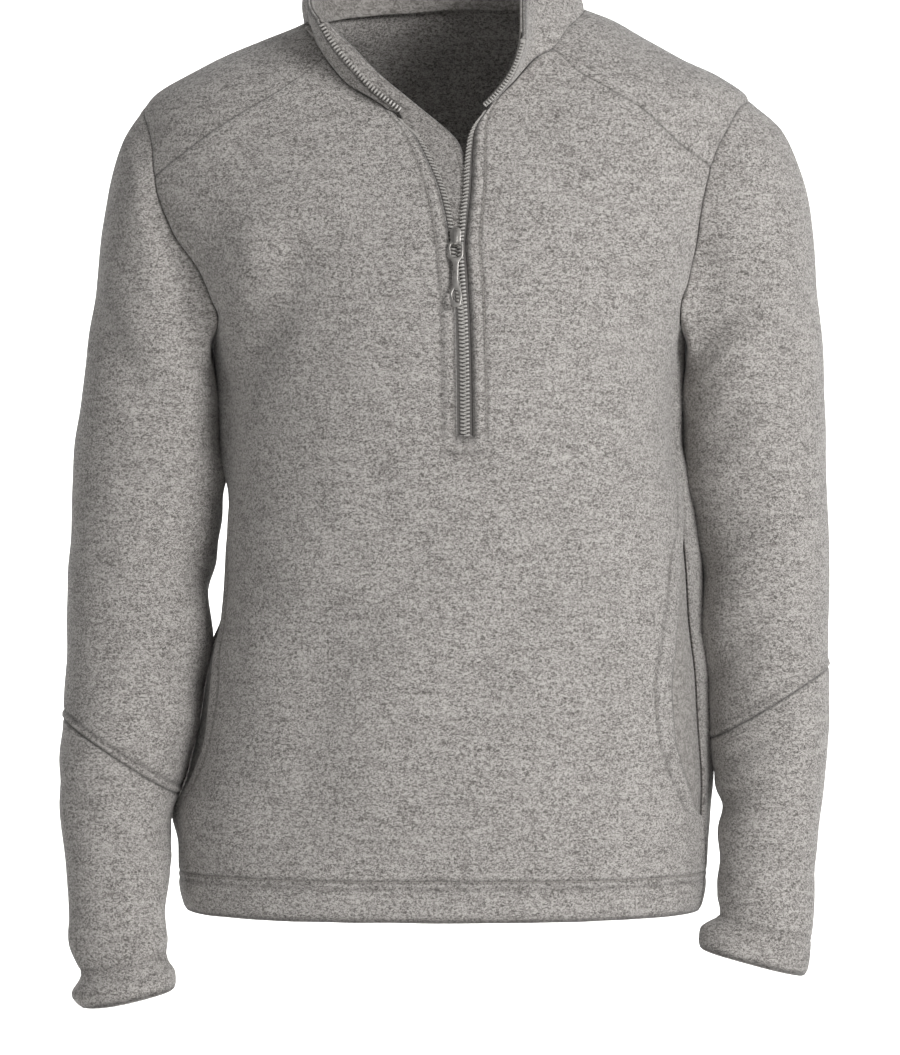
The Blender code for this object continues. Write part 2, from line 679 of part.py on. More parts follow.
def ring_values(side, at):
    """The sleeve's ring table read at the given ring numbers, in metres."""
    rings = SLEEVE_RINGS[side]
    table = np.column_stack([np.arange(len(rings)), np.array(rings, float) * MM])
    return [smooth(table, at, column) for column in range(1, 7)]


def sleeve_points(side, at):
    """Rings of a sleeve at the given ring numbers, each from the underarm up the front to
    the outer line and down the back."""
    at = np.asarray(at, float)
    outer_x, outer_z, inner_x, inner_z, middle_y, depth = ring_values(side, at)
    front_count = ARMHOLE_ROWS + YOKE_ROWS
    turn = np.concatenate([np.linspace(np.pi, 0, front_count + 1)[:-1],
                           np.linspace(0, -np.pi, BACK_ARMHOLE_ROWS + 1)[:-1]])
    centre = np.stack([(outer_x + inner_x) / 2, middle_y, (outer_z + inner_z) / 2], axis=-1)
    outwards = np.stack([(outer_x - inner_x) / 2, 0 * depth, (outer_z - inner_z) / 2], axis=-1)
    forwards = np.stack([0 * depth, -depth, 0 * depth], axis=-1)
    rings = (centre[:, None] + outwards[:, None] * np.cos(turn)[None, :, None]
             + forwards[:, None] * np.sin(turn)[None, :, None])
    rise = np.zeros(rings.shape[:2])
    for ring, angle, slope, spread, width, height in SLEEVE_FOLDS[side]:
        away = np.degrees(turn)[None, :] - angle
        away = (away + 180) % 360 - 180
        across = at[:, None] - ring - slope * away / 90
        rise += height * MM * np.exp(-(across / width) ** 2 - (away / spread) ** 2)
    fade = np.clip(at / CAP_BLEND, 0, 1)
    blend = (1 - fade) ** 2 * (1 + 2 * fade)
    rings = rings + unit(rings - centre[:, None]) * (rise * (1 - blend[:, None]))[..., None]
    loop = armhole_loop(side)
    points, normals = torso(loop[:, 0], loop[:, 1])
    ahead = np.roll(points, -1, axis=0) - np.roll(points, 1, axis=0)
    into_hole = unit(np.cross(normals, ahead))
    middle = points.mean(axis=0)
    into_hole *= np.sign(((middle - points) * into_hole).sum(axis=1))[:, None]
    points = points + into_hole * SEAM_SHIFT + normals * SEAM_LIFT
    first = (np.array(ring_values(side, np.array([0.0])))[:, 0])
    hole_centre = np.array([(first[0] + first[2]) / 2, first[4], (first[1] + first[3]) / 2])
    hole_out = np.array([(first[0] - first[2]) / 2, 0, (first[1] - first[3]) / 2])
    plain = (hole_centre + hole_out * np.cos(turn)[:, None]
             + np.array([0, -first[5], 0]) * np.sin(turn)[:, None])
    return rings + blend[:, None, None] * (points - plain)[None]


def build_sleeve(side, material):
    """The upper and lower piece of one sleeve, parted by the diagonal forearm seam."""
    last = len(SLEEVE_RINGS[side]) - 1
    knot, cuff = FOREARM_SEAM[side], CUFF_STITCH[side]
    fine = 0.02
    upper = np.linspace(0, knot, UPPER_SLEEVE_RINGS + 1)
    lower = np.concatenate([np.linspace(knot, cuff, FOREARM_RINGS - 2),
                            np.linspace(cuff, last, 4)[1:]])
    parts = (("upper_sleeve", upper, ("top",)), ("forearm_sleeve", lower, ("bottom",)))
    for name, at, sides in parts:
        points = sleeve_points(side, at)
        ahead = sleeve_points(side, np.minimum(at + fine, last))
        behind = sleeve_points(side, np.maximum(at - fine, 0))
        round_it = np.roll(points, -1, axis=1) - np.roll(points, 1, axis=1)
        normals = unit(np.cross(round_it, ahead - behind))
        middle = points.mean(axis=1, keepdims=True)
        normals *= np.sign(((points - middle) * normals).sum(axis=(1, 2)))[:, None, None]
        points = draw_back(points, sides)
        thickness = np.where(at > cuff - fine, HEM_FLEECE, FLEECE)[:, None, None]
        index = np.arange(points[..., 0].size).reshape(points.shape[:2])
        add_wall(f"{side}_{name}", points.reshape(-1, 3),
                 (points - normals * thickness).reshape(-1, 3),
                 grid_quads(index, closed=True), material)


def collar_grid():
    """The collar's outer face, from the neck seam to the top edge, and its directions."""
    line = neck_line()
    base, normals = torso(line[:, 0], line[:, 1])
    along = unit(np.gradient(base, axis=0))
    into_neck = unit(np.cross(along, normals))
    middle = np.array([0, -20 * MM, 0])
    into_neck *= np.sign(((middle - base) * into_neck).sum(axis=1))[:, None]
    share = np.linspace(0, 1, len(base))
    top = np.stack([smooth(COLLAR_TOP, share, i) * MM for i in (1, 2, 3)], axis=-1)
    base = base + into_neck * SEAM_SHIFT + normals * SEAM_LIFT
    up = np.linspace(0, 1, COLLAR_ROWS + 1)[:, None, None]
    straight = base[None] * (1 - up) + top[None] * up
    points = straight + grid_normals(straight) * COLLAR_SWELL * 4 * up * (1 - up)
    return points, grid_normals(points)


def build_collar(material, inside_material):
    """The stand-up collar: its outer piece, and the inner piece that faces the neck."""
    points, normals = collar_grid()
    index = np.arange(points[..., 0].size).reshape(points.shape[:2])
    add_wall("collar_outer", points.reshape(-1, 3),
             (points - normals * COLLAR_WALL).reshape(-1, 3), grid_quads(index), material)
    inner = points.copy()
    inner[:, 0] += unit(points[:, 1] - points[:, 0]) * FACING_START
    inner[:, -1] += unit(points[:, -2] - points[:, -1]) * FACING_START
    front_face = inner - normals * FACING_DEPTH
    back_face = inner - normals * (FACING_DEPTH + FACING_WALL)
    add_wall("collar_inner", front_face.reshape(-1, 3), back_face.reshape(-1, 3),
             grid_quads(index), inside_material)


def build_pocket_bag(side, material):
    """A pocket bag behind the front panel, which shows in the pocket's mouth. It follows
    the panel's own grid, and its top edge slopes down from the side seam."""
    place = front_half(side)[1:BAG_FULL_ROWS + 1, :BAG_COLUMNS]
    place[:, 0] = side_seam(side)[1:BAG_FULL_ROWS + 1]
    share = np.linspace(0, 1, place.shape[1])
    top = place[-1].copy()
    top[:, 1] = (BAG_TOP[0] * (1 - share) + BAG_TOP[1] * share) * MM
    top[:, 0] += (front_half(side)[BAG_FULL_ROWS + 2, BAG_COLUMNS - 1, 0] - top[-1, 0]) * share
    place = np.concatenate([place, [(place[-1] + top) / 2, top]])
    points, normals = torso(place[..., 0], place[..., 1])
    points = draw_back(points, ("first",))
    index = np.arange(points[..., 0].size).reshape(points.shape[:2])
    quads = grid_quads(index if side == "right" else index[:, ::-1])
    depth = np.full(len(place), BAG_DEPTH)
    depth[-2:] += BAG_TOP_EASE
    depth = depth[:, None, None]
    add_wall(f"{side}_pocket_bag", (points - normals * depth).reshape(-1, 3),
             (points - normals * (depth + BAG_WALL)).reshape(-1, 3), quads, material)


def zip_line(side):
    """The cloth's edge up one side of the zip, on the body or on the collar, and the line
    that lies TAPE_UNDER further in, each with its outward directions."""
    place = front_half(side)
    points, normals = torso(place[..., 0], place[..., 1])
    foot = (TAPE_FROM / MM - ZIP_LEVELS[SLIT_ROW]) / (ZIP_LEVELS[SLIT_ROW - 1]
                                                      - ZIP_LEVELS[SLIT_ROW])
    lines = []
    for field in (points, normals):
        edge, next_to_it = field[SLIT_ROW:, -1].copy(), field[SLIT_ROW:, -2].copy()
        edge[0] += (field[SLIT_ROW - 1, -1] - edge[0]) * foot
        next_to_it[0] += (field[SLIT_ROW - 1, -2] - next_to_it[0]) * foot
        lines.append((edge, next_to_it))
    for line in lines[0] + lines[1]:
        line[-1] = line[-2] + (line[-1] - line[-2]) * TAPE_END
    return under_edge(lines)


def collar_line(side):
    """The same as zip_line, up one front edge of the collar."""
    points, normals = collar_grid()
    edge, next_to_it = (0, 1) if side == "right" else (-1, -2)
    return under_edge([(field[:, edge], field[:, next_to_it]) for field in (points, normals)])


def under_edge(lines):
    """Points and directions at an edge and TAPE_UNDER inside it, on the flat faces between
    the edge and the grid line next to it."""
    (edge, next_to_it), (edge_normal, next_normal) = lines
    gap = np.linalg.norm(next_to_it - edge, axis=1, keepdims=True)
    share = np.minimum(TAPE_UNDER / gap, 0.8)
    return (edge, edge_normal, edge + (next_to_it - edge) * share,
            edge_normal + (next_normal - edge_normal) * share)


def add_tape(name, lines, reach, depth, wall, material):
    """A tape from the line inside the cloth's edge to reach past that edge."""
    edge, edge_normal, under, under_normal = lines
    across = unit(edge - under)
    sheet = np.stack([under, edge, edge + across * reach], axis=1)
    directions = np.stack([under_normal, edge_normal, edge_normal], axis=1)
    index = np.arange(sheet[..., 0].size).reshape(sheet.shape[:2])
    add_wall(name, (sheet - directions * depth).reshape(-1, 3),
             (sheet - directions * (depth + wall)).reshape(-1, 3), grid_quads(index), material)


def build_tapes(material):
    """The zip's two tapes, on the body and on the collar's front edges."""
    for column, side in enumerate(("right", "left"), start=1):
        lines = zip_line(side)
        reach = smooth(TAPE_REACH, lines[0][:, 2] / MM, column)[:, None] * MM
        add_tape(f"zip_tape_{side}", lines, reach, TAPE_DEPTH, TAPE_WALL, material)
        lines = collar_line(side)
        add_tape(f"zip_tape_collar_{side}", lines, COLLAR_TAPE_REACH, COLLAR_TAPE_DEPTH,
                 COLLAR_TAPE_WALL, material)


def build_guard(material):
    """The strip of fleece behind the wearer's right side of the zip."""
    edge, edge_normal, under, under_normal = zip_line("right")
    sewn = under - under_normal * GUARD_DEPTH
    heights = sewn[:, 2]
    free_x = smooth(GUARD_REACH, heights / MM, 1) * MM
    free, free_normal = torso(front_angle(free_x, heights), heights)
    free -= free_normal * GUARD_DEPTH
    collar_edge, collar_normal = collar_line("right")[:2]
    collar_sewn = collar_edge - collar_normal * COLLAR_GUARD_DEPTH
    collar_sewn[0, 1] += GUARD_RECESS
    collar_free = through(np.array(GUARD_TOP, float) * MM, len(collar_sewn) - 1)
    split = len(sewn) - GUARD_TURN
    sewn = np.concatenate([sewn[:split], collar_sewn])
    free = np.concatenate([free[:split], collar_free])
    sheet = np.stack([sewn, (sewn + free) / 2, free], axis=1)
    back = sheet + np.array([0, GUARD_WALL, 0])
    index = np.arange(sheet[..., 0].size).reshape(sheet.shape[:2])
    add_wall("zip_guard", sheet.reshape(-1, 3), back.reshape(-1, 3), grid_quads(index),
             material)


def slider_frame():
    """The slider's middle on the cloth, and its right, up and outward directions."""
    angle = front_angle(SLIDER_X, SLIDER_Z)
    point, normal = torso(np.array([angle]), np.array([SLIDER_Z]))
    outwards = Vector(normal[0])
    outwards.x = 0
    outwards.normalize()
    right = Vector((1, 0, 0))
    return Vector(point[0]), right, outwards.cross(right), outwards


def plate(name, loops, frame, low, high, material):
    """A flat plate cut to the first loop, with the other loops as holes. Loops are lists
    of (right, up) in the frame's plane, and low and high are its two faces."""
    origin, right, up, outwards = frame
    flat = [[Vector((a, b, 0)) for a, b in loop] for loop in loops]
    triangles = tessellate_polygon(flat)
    spots = [spot for loop in loops for spot in loop]
    count = len(spots)
    vertices = [origin + right * a + up * b + outwards * high for a, b in spots]
    vertices += [origin + right * a + up * b + outwards * low for a, b in spots]
    faces = [tuple(t) for t in triangles]
    faces += [tuple(i + count for i in reversed(t)) for t in triangles]
    start = 0
    for loop in loops:
        size = len(loop)
        for i in range(size):
            a, b = start + i, start + (i + 1) % size
            faces.append((a, b, b + count, a + count))
        start += size
    return add_object(name, vertices, faces, material)


def build_slider(material):
    """The slider: a waisted body with a bridge on its front for the pull tab."""
    frame = slider_frame()
    wide, tall = SLIDER_HALF_WIDTH, SLIDER_HALF_HEIGHT
    outline = [(-0.45 * wide, tall), (0.45 * wide, tall), (wide, 0.45 * tall),
               (0.92 * wide, -0.2 * tall), (0.62 * wide, -tall), (-0.62 * wide, -tall),
               (-0.92 * wide, -0.2 * tall), (-wide, 0.45 * tall)]
    body = plate("zip_slider", [outline[::-1]], frame, SLIDER_BACK, SLIDER_FRONT, material)
    origin, right, up, outwards = frame
    tunnel = HINGE_RISE + 0.9 * PULL_THICKNESS
    sunk = SLIDER_FRONT - 0.5 * MM
    side_view = [(sunk, 0.9 * tall), (tunnel, 0.55 * tall),
                 (tunnel + BRIDGE_WALL, -0.1 * tall), (tunnel + BRIDGE_WALL, -0.97 * tall),
                 (sunk, -tall), (sunk, -0.93 * tall), (tunnel, -0.9 * tall),
                 (tunnel, -0.3 * tall), (sunk, -0.12 * tall)]
    bridge_frame = (origin, outwards, up, right)
    bridge = plate("bridge_guide", [side_view], bridge_frame, -BRIDGE_HALF_WIDTH,
                   BRIDGE_HALF_WIDTH, material)
    bridge.hide_render = True
    bridge.display_type = "WIRE"
    union = body.modifiers.new("bridge", "BOOLEAN")
    union.operation = "UNION"
    union.solver = "EXACT"
    union.object = bridge


def build_pull(material):
    """The pull tab: a ring round the bridge, a stem and an end loop, one flat plate."""
    origin, right, up, outwards = slider_frame()
    hinge = origin - up * HINGE_DROP + outwards * HINGE_RISE
    down = (up * -np.cos(PULL_TILT) + outwards * np.sin(PULL_TILT)).normalized()
    frame = (Vector((0, 0, 0)), right, down * -1, right.cross(down * -1))
    bar, ring_wide, ring_tall = 0.75 * MM, 5.7 * MM, 14.0 * MM
    stem, stem_end = 2.0 * MM, 31.0 * MM
    loop_wide, loop_end = 4.6 * MM, 49.0 * MM
    outline = [(-0.78 * ring_wide, bar), (0.78 * ring_wide, bar), (ring_wide, -1.2 * MM),
               (ring_wide, -9.0 * MM), (0.72 * ring_wide, -12.2 * MM), (stem, -ring_tall - MM),
               (stem, -stem_end), (0.8 * loop_wide, -stem_end - 5 * MM),
               (loop_wide, -stem_end - 10 * MM), (0.86 * loop_wide, -loop_end + 4 * MM),
               (0.4 * loop_wide, -loop_end), (-0.4 * loop_wide, -loop_end),
               (-0.86 * loop_wide, -loop_end + 4 * MM), (-loop_wide, -stem_end - 10 * MM),
               (-0.8 * loop_wide, -stem_end - 5 * MM), (-stem, -stem_end),
               (-stem, -ring_tall - MM), (-0.72 * ring_wide, -12.2 * MM),
               (-ring_wide, -9.0 * MM), (-ring_wide, -1.2 * MM)]
    ring_hole = [(-0.66 * ring_wide, -bar), (-0.68 * ring_wide, -8.6 * MM),
                 (-0.4 * ring_wide, -11.0 * MM), (0.4 * ring_wide, -11.0 * MM),
                 (0.68 * ring_wide, -8.6 * MM), (0.66 * ring_wide, -bar)]
    end_hole = [(-0.3 * loop_wide, -stem_end - 5 * MM), (-0.55 * loop_wide, -stem_end - 10 * MM),
                (-0.3 * loop_wide, -loop_end + 4.4 * MM), (0.3 * loop_wide, -loop_end + 3.4 * MM),
                (0.55 * loop_wide, -stem_end - 10 * MM), (0.2 * loop_wide, -stem_end - 4 * MM)]
    half = PULL_THICKNESS / 2
    pull = plate("zip_pull_tab", [outline[::-1], ring_hole, end_hole], frame, -half, half,
                 material)
    pull.location = hinge


def main():
    """Clears the scene and builds every piece."""
    for old in list(bpy.data.objects):
        bpy.data.objects.remove(old, do_unlink=True)
    fleece = new_material("heather_fleece", GREY, 0.95)
    inside = new_material("brushed_inside", DARK_GREY, 0.95)
    tape = new_material("zip_tape_weave", TAPE_GREY, 0.8)
    metal = new_material("painted_zinc", METAL_GREY, 0.4, 0.8)
    build_front(fleece)
    build_back(fleece)
    for side in ("right", "left"):
        build_sleeve(side, fleece)
        build_pocket_bag(side, inside)
    build_collar(fleece, inside)
    build_tapes(tape)
    build_guard(fleece)
    build_slider(metal)
    build_pull(metal)


main()
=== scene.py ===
"""Looks of a quarter-zip fleece pullover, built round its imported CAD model.

Lengths in tables are millimetres and angles are degrees; everything else is in metres and
radians. The frame is the CAD's: +Z up, the front faces -Y, +X is the wearer's left. Each
cloth piece is rebuilt on the surface that its solid has, at a finer grid, and dressed with
creases, rolled seams, stitching and a heathered knit.
"""

import logging
import math
from dataclasses import dataclass, field
from enum import Enum

import bmesh
import bpy
import numpy as np
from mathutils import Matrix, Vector

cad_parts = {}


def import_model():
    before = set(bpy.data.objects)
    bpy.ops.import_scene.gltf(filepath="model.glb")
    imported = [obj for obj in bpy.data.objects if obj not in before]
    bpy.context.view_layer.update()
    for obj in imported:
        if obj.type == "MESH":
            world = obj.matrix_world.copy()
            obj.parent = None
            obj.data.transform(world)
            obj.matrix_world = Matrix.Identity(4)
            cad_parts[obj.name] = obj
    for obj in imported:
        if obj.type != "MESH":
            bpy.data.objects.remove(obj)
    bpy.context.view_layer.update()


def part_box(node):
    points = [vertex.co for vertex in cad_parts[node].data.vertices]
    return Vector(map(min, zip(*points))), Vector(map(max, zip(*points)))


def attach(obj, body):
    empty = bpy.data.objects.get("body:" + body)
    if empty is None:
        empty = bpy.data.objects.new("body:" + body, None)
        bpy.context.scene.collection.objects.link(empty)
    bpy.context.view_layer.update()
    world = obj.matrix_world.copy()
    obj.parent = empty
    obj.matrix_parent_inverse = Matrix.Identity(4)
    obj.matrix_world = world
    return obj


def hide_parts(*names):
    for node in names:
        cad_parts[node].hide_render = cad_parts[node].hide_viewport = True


Array, Material = np.ndarray, bpy.types.Material
LOG = logging.getLogger("pullover")
MM = 0.001
GARMENT, PULL = "garment", "pull"


class Side(Enum):
    """The two halves of the garment, named as the wearer has them."""

    RIGHT = "right"
    LEFT = "left"


class Edge(Enum):
    """The four sides of a grid of points."""

    BOTTOM = "bottom"
    TOP = "top"
    FIRST = "first"
    LAST = "last"


# --- curves


def unit(vectors: Array) -> Array:
    """Scales vectors along the last axis to length one."""
    return vectors / np.maximum(np.linalg.norm(vectors, axis=-1, keepdims=True), 1e-12)


def spread(*grids: Array) -> tuple[Array, ...]:
    """Turns numbers and grids into float grids of one shape."""
    return tuple(np.broadcast_arrays(*(np.asarray(grid, float) for grid in grids)))


def smooth(table: Array, at: Array, column: int) -> Array:
    """Reads a table's column along a curve that never overshoots its rows.

    Args:
        table: rows sorted by their first value, the key.
        at: keys to read at, of any shape.
        column: which value to read.
    Returns:
        The values, of the same shape as at.
    """
    rows = np.asarray(table, float)
    keys, values, at = rows[:, 0], rows[:, column], np.asarray(at, float)
    step = np.diff(keys)
    slope = np.diff(values) / step
    tangent = np.zeros_like(values)
    before, after = slope[:-1], slope[1:]
    ahead, behind = 2 * step[1:] + step[:-1], step[1:] + 2 * step[:-1]
    same = before * after > 0
    tangent[1:-1][same] = ((ahead + behind)[same]
                           / (ahead[same] / before[same] + behind[same] / after[same]))
    tangent[0], tangent[-1] = slope[0], slope[-1]
    k = np.clip(np.searchsorted(keys, at, side="right") - 1, 0, len(keys) - 2)
    t = (at - keys[k]) / step[k]
    return ((2 * t ** 3 - 3 * t ** 2 + 1) * values[k]
            + (t ** 3 - 2 * t ** 2 + t) * step[k] * tangent[k]
            + (3 * t ** 2 - 2 * t ** 3) * values[k + 1]
            + (t ** 3 - t ** 2) * step[k] * tangent[k + 1])


def distances(line: Array) -> Array:
    """Measures how far along a line each of its points lies."""
    steps = np.linalg.norm(np.diff(line, axis=0), axis=1)
    return np.concatenate([[0], np.cumsum(steps)])


class Curve:
    """A smooth curve through a few points, read by the share of its length."""

    def __init__(self, points: tuple, weights: tuple[float, ...]) -> None:
        """Stores the points with their places along the curve.

        Args:
            points: rows of coordinates.
            weights: metres per unit of each coordinate, for measuring lengths.
        """
        rows = np.asarray(points, float)
        places = distances(rows * np.asarray(weights))
        self.table = np.column_stack([places / places[-1], rows])

    def at(self, share: Array) -> Array:
        """Reads points at shares of the length, along a new last axis."""
        share = np.clip(share, 0, 1)
        return np.stack([smooth(self.table, share, i)
                         for i in range(1, self.table.shape[1])], axis=-1)


class Seam(Curve):
    """A seam on the body, given as angle in degrees and height in millimetres."""

    METRES_PER_DEGREE = 0.0021

    def __init__(self, points: tuple) -> None:
        """Stores the seam's rows of angle and height."""
        super().__init__(points, (self.METRES_PER_DEGREE, MM))

    def at(self, share: Array) -> Array:
        """Reads angles in radians and heights in metres at shares of the length."""
        found = super().at(share)
        return np.stack([np.radians(found[..., 0]), found[..., 1] * MM], axis=-1)


@dataclass(frozen=True)
class Fold:
    """One crease of the body: its middle, turn from level, size and rise."""

    face: int
    x: float
    z: float
    turn: float
    length: float
    width: float
    rise: float


@dataclass(frozen=True)
class SleeveFold:
    """One crease of a sleeve: ring, angle from the outer line to the front, slope, spread,
    width in rings and rise."""

    ring: float
    angle: float
    slope: float
    spread: float
    width: float
    rise: float


# --- the body's form


class Ripples:
    """The slight unevenness of a hanging fleece, the same wherever two pieces meet."""

    WAVES = ((61, 17, -23, 0.3, 0.42), (-34, 29, 47, 1.9, 0.36), (87, -51, 39, 4.1, 0.26),
             (23, 73, -94, 2.2, 0.22), (-118, 44, 71, 5.3, 0.16), (52, -133, 96, 0.9, 0.12),
             (148, 62, 121, 3.6, 0.09), (-97, 158, -143, 1.1, 0.07))

    @classmethod
    def rise(cls, points: Array) -> Array:
        """Works out how far the cloth stands out by itself.

        Args:
            points: places on the plain form.
        Returns:
            Heights in metres.
        """
        total = np.zeros(points.shape[:-1])
        for a, b, c, phase, height in cls.WAVES:
            total += height * np.sin(points @ np.array([a, b, c], float) + phase)
        return total * MM


class BodyForm:
    """The garment's trunk: one closed surface read by angle round it and height."""

    ROUNDNESS = 2.3
    SECTIONS = np.array((
        # height, right, left, front, back
        (-692.5, 204, 192, 124, 117), (-670, 208, 196, 126, 118), (-620, 209, 199, 128, 118),
        (-590, 199, 198, 128, 117), (-550, 190, 195, 128, 115), (-500, 184, 191, 127, 112),
        (-470, 177, 188, 127, 110), (-414, 172, 183, 129, 110), (-366, 169, 177, 133, 113),
        (-333, 169, 170, 136, 116), (-300, 170, 170, 138, 120), (-251, 175, 175, 139, 126),
        (-209, 200, 190, 136, 129), (-174, 226, 203, 130, 130), (-141, 239, 214, 122, 128),
        (-117, 242, 222, 115, 125), (-90, 240, 231, 106, 120), (-71, 229, 229, 99, 116),
        (-55, 205, 208, 93, 111), (-40, 176, 178, 87, 105), (-25, 143, 150, 80, 98),
        (-12, 112, 126, 73, 91), (4, 100, 90, 64, 82), (14, 78, 76, 56, 74)), float)
    FLARE = (
        # height, wearer's right, left
        (-693, 0, 0), (-645, 0, 0), (-620, 6, 1), (-590, 6, 6), (-510, 4.5, 10),
        (-490, 3, 10), (-470, 0, 10), (-385, 0, 10), (-370, 2, 10), (-350, 9, 10),
        (-265, 9, 9), (-248, 4, 5), (-228, 0, 0), (14, 0, 0))
    FOLD_SCALE = 1.2
    FOLDS = (
        # face, x, z, turn, length, width, rise; the narrow ones are only in the looks
        (-1, -158, -222, 68, 130, 20, 5.0), (-1, -132, -236, 62, 120, 20, -3.5),
        (-1, 163, -214, 112, 130, 20, 4.0), (-1, 138, -232, 116, 110, 20, -3.0),
        (-1, -100, -540, 82, 190, 26, -3.5), (-1, 136, -612, -12, 130, 20, -3.5),
        (-1, -112, -428, -31, 130, 20, 2.5), (-1, 60, -470, 58, 200, 34, -2.5),
        (-1, -20, -585, -6, 240, 30, 2.0), (1, -150, -225, 110, 140, 22, 4.5),
        (1, 150, -222, 70, 140, 22, 4.5), (1, -112, -240, 104, 150, 24, -4.5),
        (1, 110, -236, 76, 150, 24, -4.5), (1, 10, -455, 4, 230, 22, -5.0),
        (1, -24, -500, -7, 250, 24, 5.0), (1, 30, -545, 6, 220, 22, -4.0),
        (1, -60, -600, 14, 180, 26, 3.0), (-1, -172, -236, 60, 70, 6, -1.6),
        (-1, -148, -252, 55, 80, 7, 1.4), (-1, 176, -232, 118, 70, 6, -1.6),
        (-1, 150, -252, 124, 80, 7, 1.3), (-1, -70, -640, -20, 120, 12, -1.4),
        (-1, 88, -560, -16, 110, 12, -1.3), (-1, 10, -520, 12, 160, 14, 1.2),
        (-1, -40, -400, -58, 120, 14, -1.0), (1, 70, -430, -14, 150, 10, -1.8),
        (1, -80, -478, 10, 140, 9, -1.8), (1, 60, -522, -6, 150, 9, 1.8),
        (1, -20, -572, 9, 160, 10, -1.6), (1, 90, -590, -24, 120, 10, 1.6),
        (1, -120, -330, 62, 140, 10, 1.6), (1, 116, -320, 118, 140, 10, -1.6),
        (1, 0, -120, 2, 160, 16, 1.2))

    def plain(self, angle: Array, height: Array) -> Array:
        """Reads the surface without creases.

        Args:
            angle: from the front centre.
            height: above the shoulders.
        Returns:
            Points.
        """
        right, left, front, back = (smooth(self.SECTIONS, height / MM, i) * MM
                                    for i in range(1, 5))
        side, fore = np.sin(angle), np.cos(angle)
        fit = (np.abs(side) ** self.ROUNDNESS
               + np.abs(fore) ** self.ROUNDNESS) ** (-1 / self.ROUNDNESS)
        x = np.where(side > 0, left, right) * side * fit
        y = -np.where(fore > 0, front, back) * fore * fit
        return np.stack([x, y, height + 0 * x], axis=-1)

    def folds(self, points: Array) -> Array:
        """Works out how far the creases stand out.

        Args:
            points: places on the plain surface.
        Returns:
            Heights in metres.
        """
        x, y, z = points[..., 0] / MM, points[..., 1] / MM, points[..., 2] / MM
        rise = np.zeros_like(x)
        for fold in (Fold(*row) for row in self.FOLDS):
            turn = math.radians(fold.turn)
            along = math.cos(turn) * (x - fold.x) + math.sin(turn) * (z - fold.z)
            across = math.cos(turn) * (z - fold.z) - math.sin(turn) * (x - fold.x)
            shown = np.clip(fold.face * y / 30, 0, 1)
            rise += fold.rise * shown * np.exp(-(across / fold.width) ** 2
                                               - (2 * along / fold.length) ** 4)
        return rise * MM

    def flare(self, angle: Array, height: Array) -> Array:
        """Works out how far the sides' loose cloth stands out towards the sleeves.

        Args:
            angle: from the front centre.
            height: above the shoulders.
        Returns:
            Heights in metres.
        """
        turn = np.degrees(np.mod(angle + np.pi, 2 * np.pi) - np.pi)
        left = smooth(self.FLARE, height / MM, 2) * np.exp(-((turn - 97) / 15) ** 4)
        right = smooth(self.FLARE, height / MM, 1) * np.exp(-((turn + 97) / 15) ** 4)
        return (left + right) * MM

    def surface(self, angle: Array, height: Array) -> Array:
        """Reads the creased surface.

        Args:
            angle: from the front centre.
            height: above the shoulders.
        Returns:
            Points.
        """
        angle, height = spread(angle, height)
        turn, lift = 0.02, 2 * MM
        round_it = self.plain(angle + turn, height) - self.plain(angle - turn, height)
        up_it = self.plain(angle, height + lift) - self.plain(angle, height - lift)
        plain = self.plain(angle, height)
        rise = (self.FOLD_SCALE * self.folds(plain) + Ripples.rise(plain)
                + self.flare(angle, height))
        return plain + unit(np.cross(round_it, up_it)) * rise[..., None]

    def normal(self, angle: Array, height: Array) -> Array:
        """Reads the outward directions of the creased surface.

        Args:
            angle: from the front centre.
            height: above the shoulders.
        Returns:
            Directions.
        """
        turn, lift = 0.012, 1.5 * MM
        round_it = self.surface(angle + turn, height) - self.surface(angle - turn, height)
        up_it = self.surface(angle, height + lift) - self.surface(angle, height - lift)
        return unit(np.cross(round_it, up_it))

    def face(self, place: Array) -> tuple[Array, Array]:
        """Reads points and outward directions at places of angle and height."""
        return (self.surface(place[..., 0], place[..., 1]),
                self.normal(place[..., 0], place[..., 1]))

    def front_angle(self, x: Array, height: Array) -> Array:
        """Finds where the front has a given x.

        Args:
            x: across the body.
            height: above the shoulders.
        Returns:
            The angle round the body.
        """
        x, height = np.asarray(x, float), np.asarray(height, float)
        half = np.where(x > 0, smooth(self.SECTIONS, height / MM, 2),
                        smooth(self.SECTIONS, height / MM, 1))
        share = np.clip(np.abs(x) / (half * MM), 0, 0.9999) ** self.ROUNDNESS
        return np.sign(x) * np.arctan((share / (1 - share)) ** (1 / self.ROUNDNESS))

    def side_lengths(self) -> tuple[Array, Array]:
        """Measures the side outline from the hem up.

        Returns:
            Heights, and the outline's length up to each.
        """
        heights = np.arange(self.SECTIONS[0][0], self.SECTIONS[-1][0] + 1, 1.0)
        widths = (smooth(self.SECTIONS, heights, 1) + smooth(self.SECTIONS, heights, 2)) / 2
        steps = np.hypot(np.diff(widths), np.diff(heights))
        return heights * MM, np.concatenate([[0], np.cumsum(steps)]) * MM


# --- the cut


def onward(places: Array) -> Array:
    """Counts the angles of places on round the back, so that none is negative."""
    angle = places[..., 0]
    return np.stack([np.where(angle < 0, angle + 2 * np.pi, angle), places[..., 1]], axis=-1)


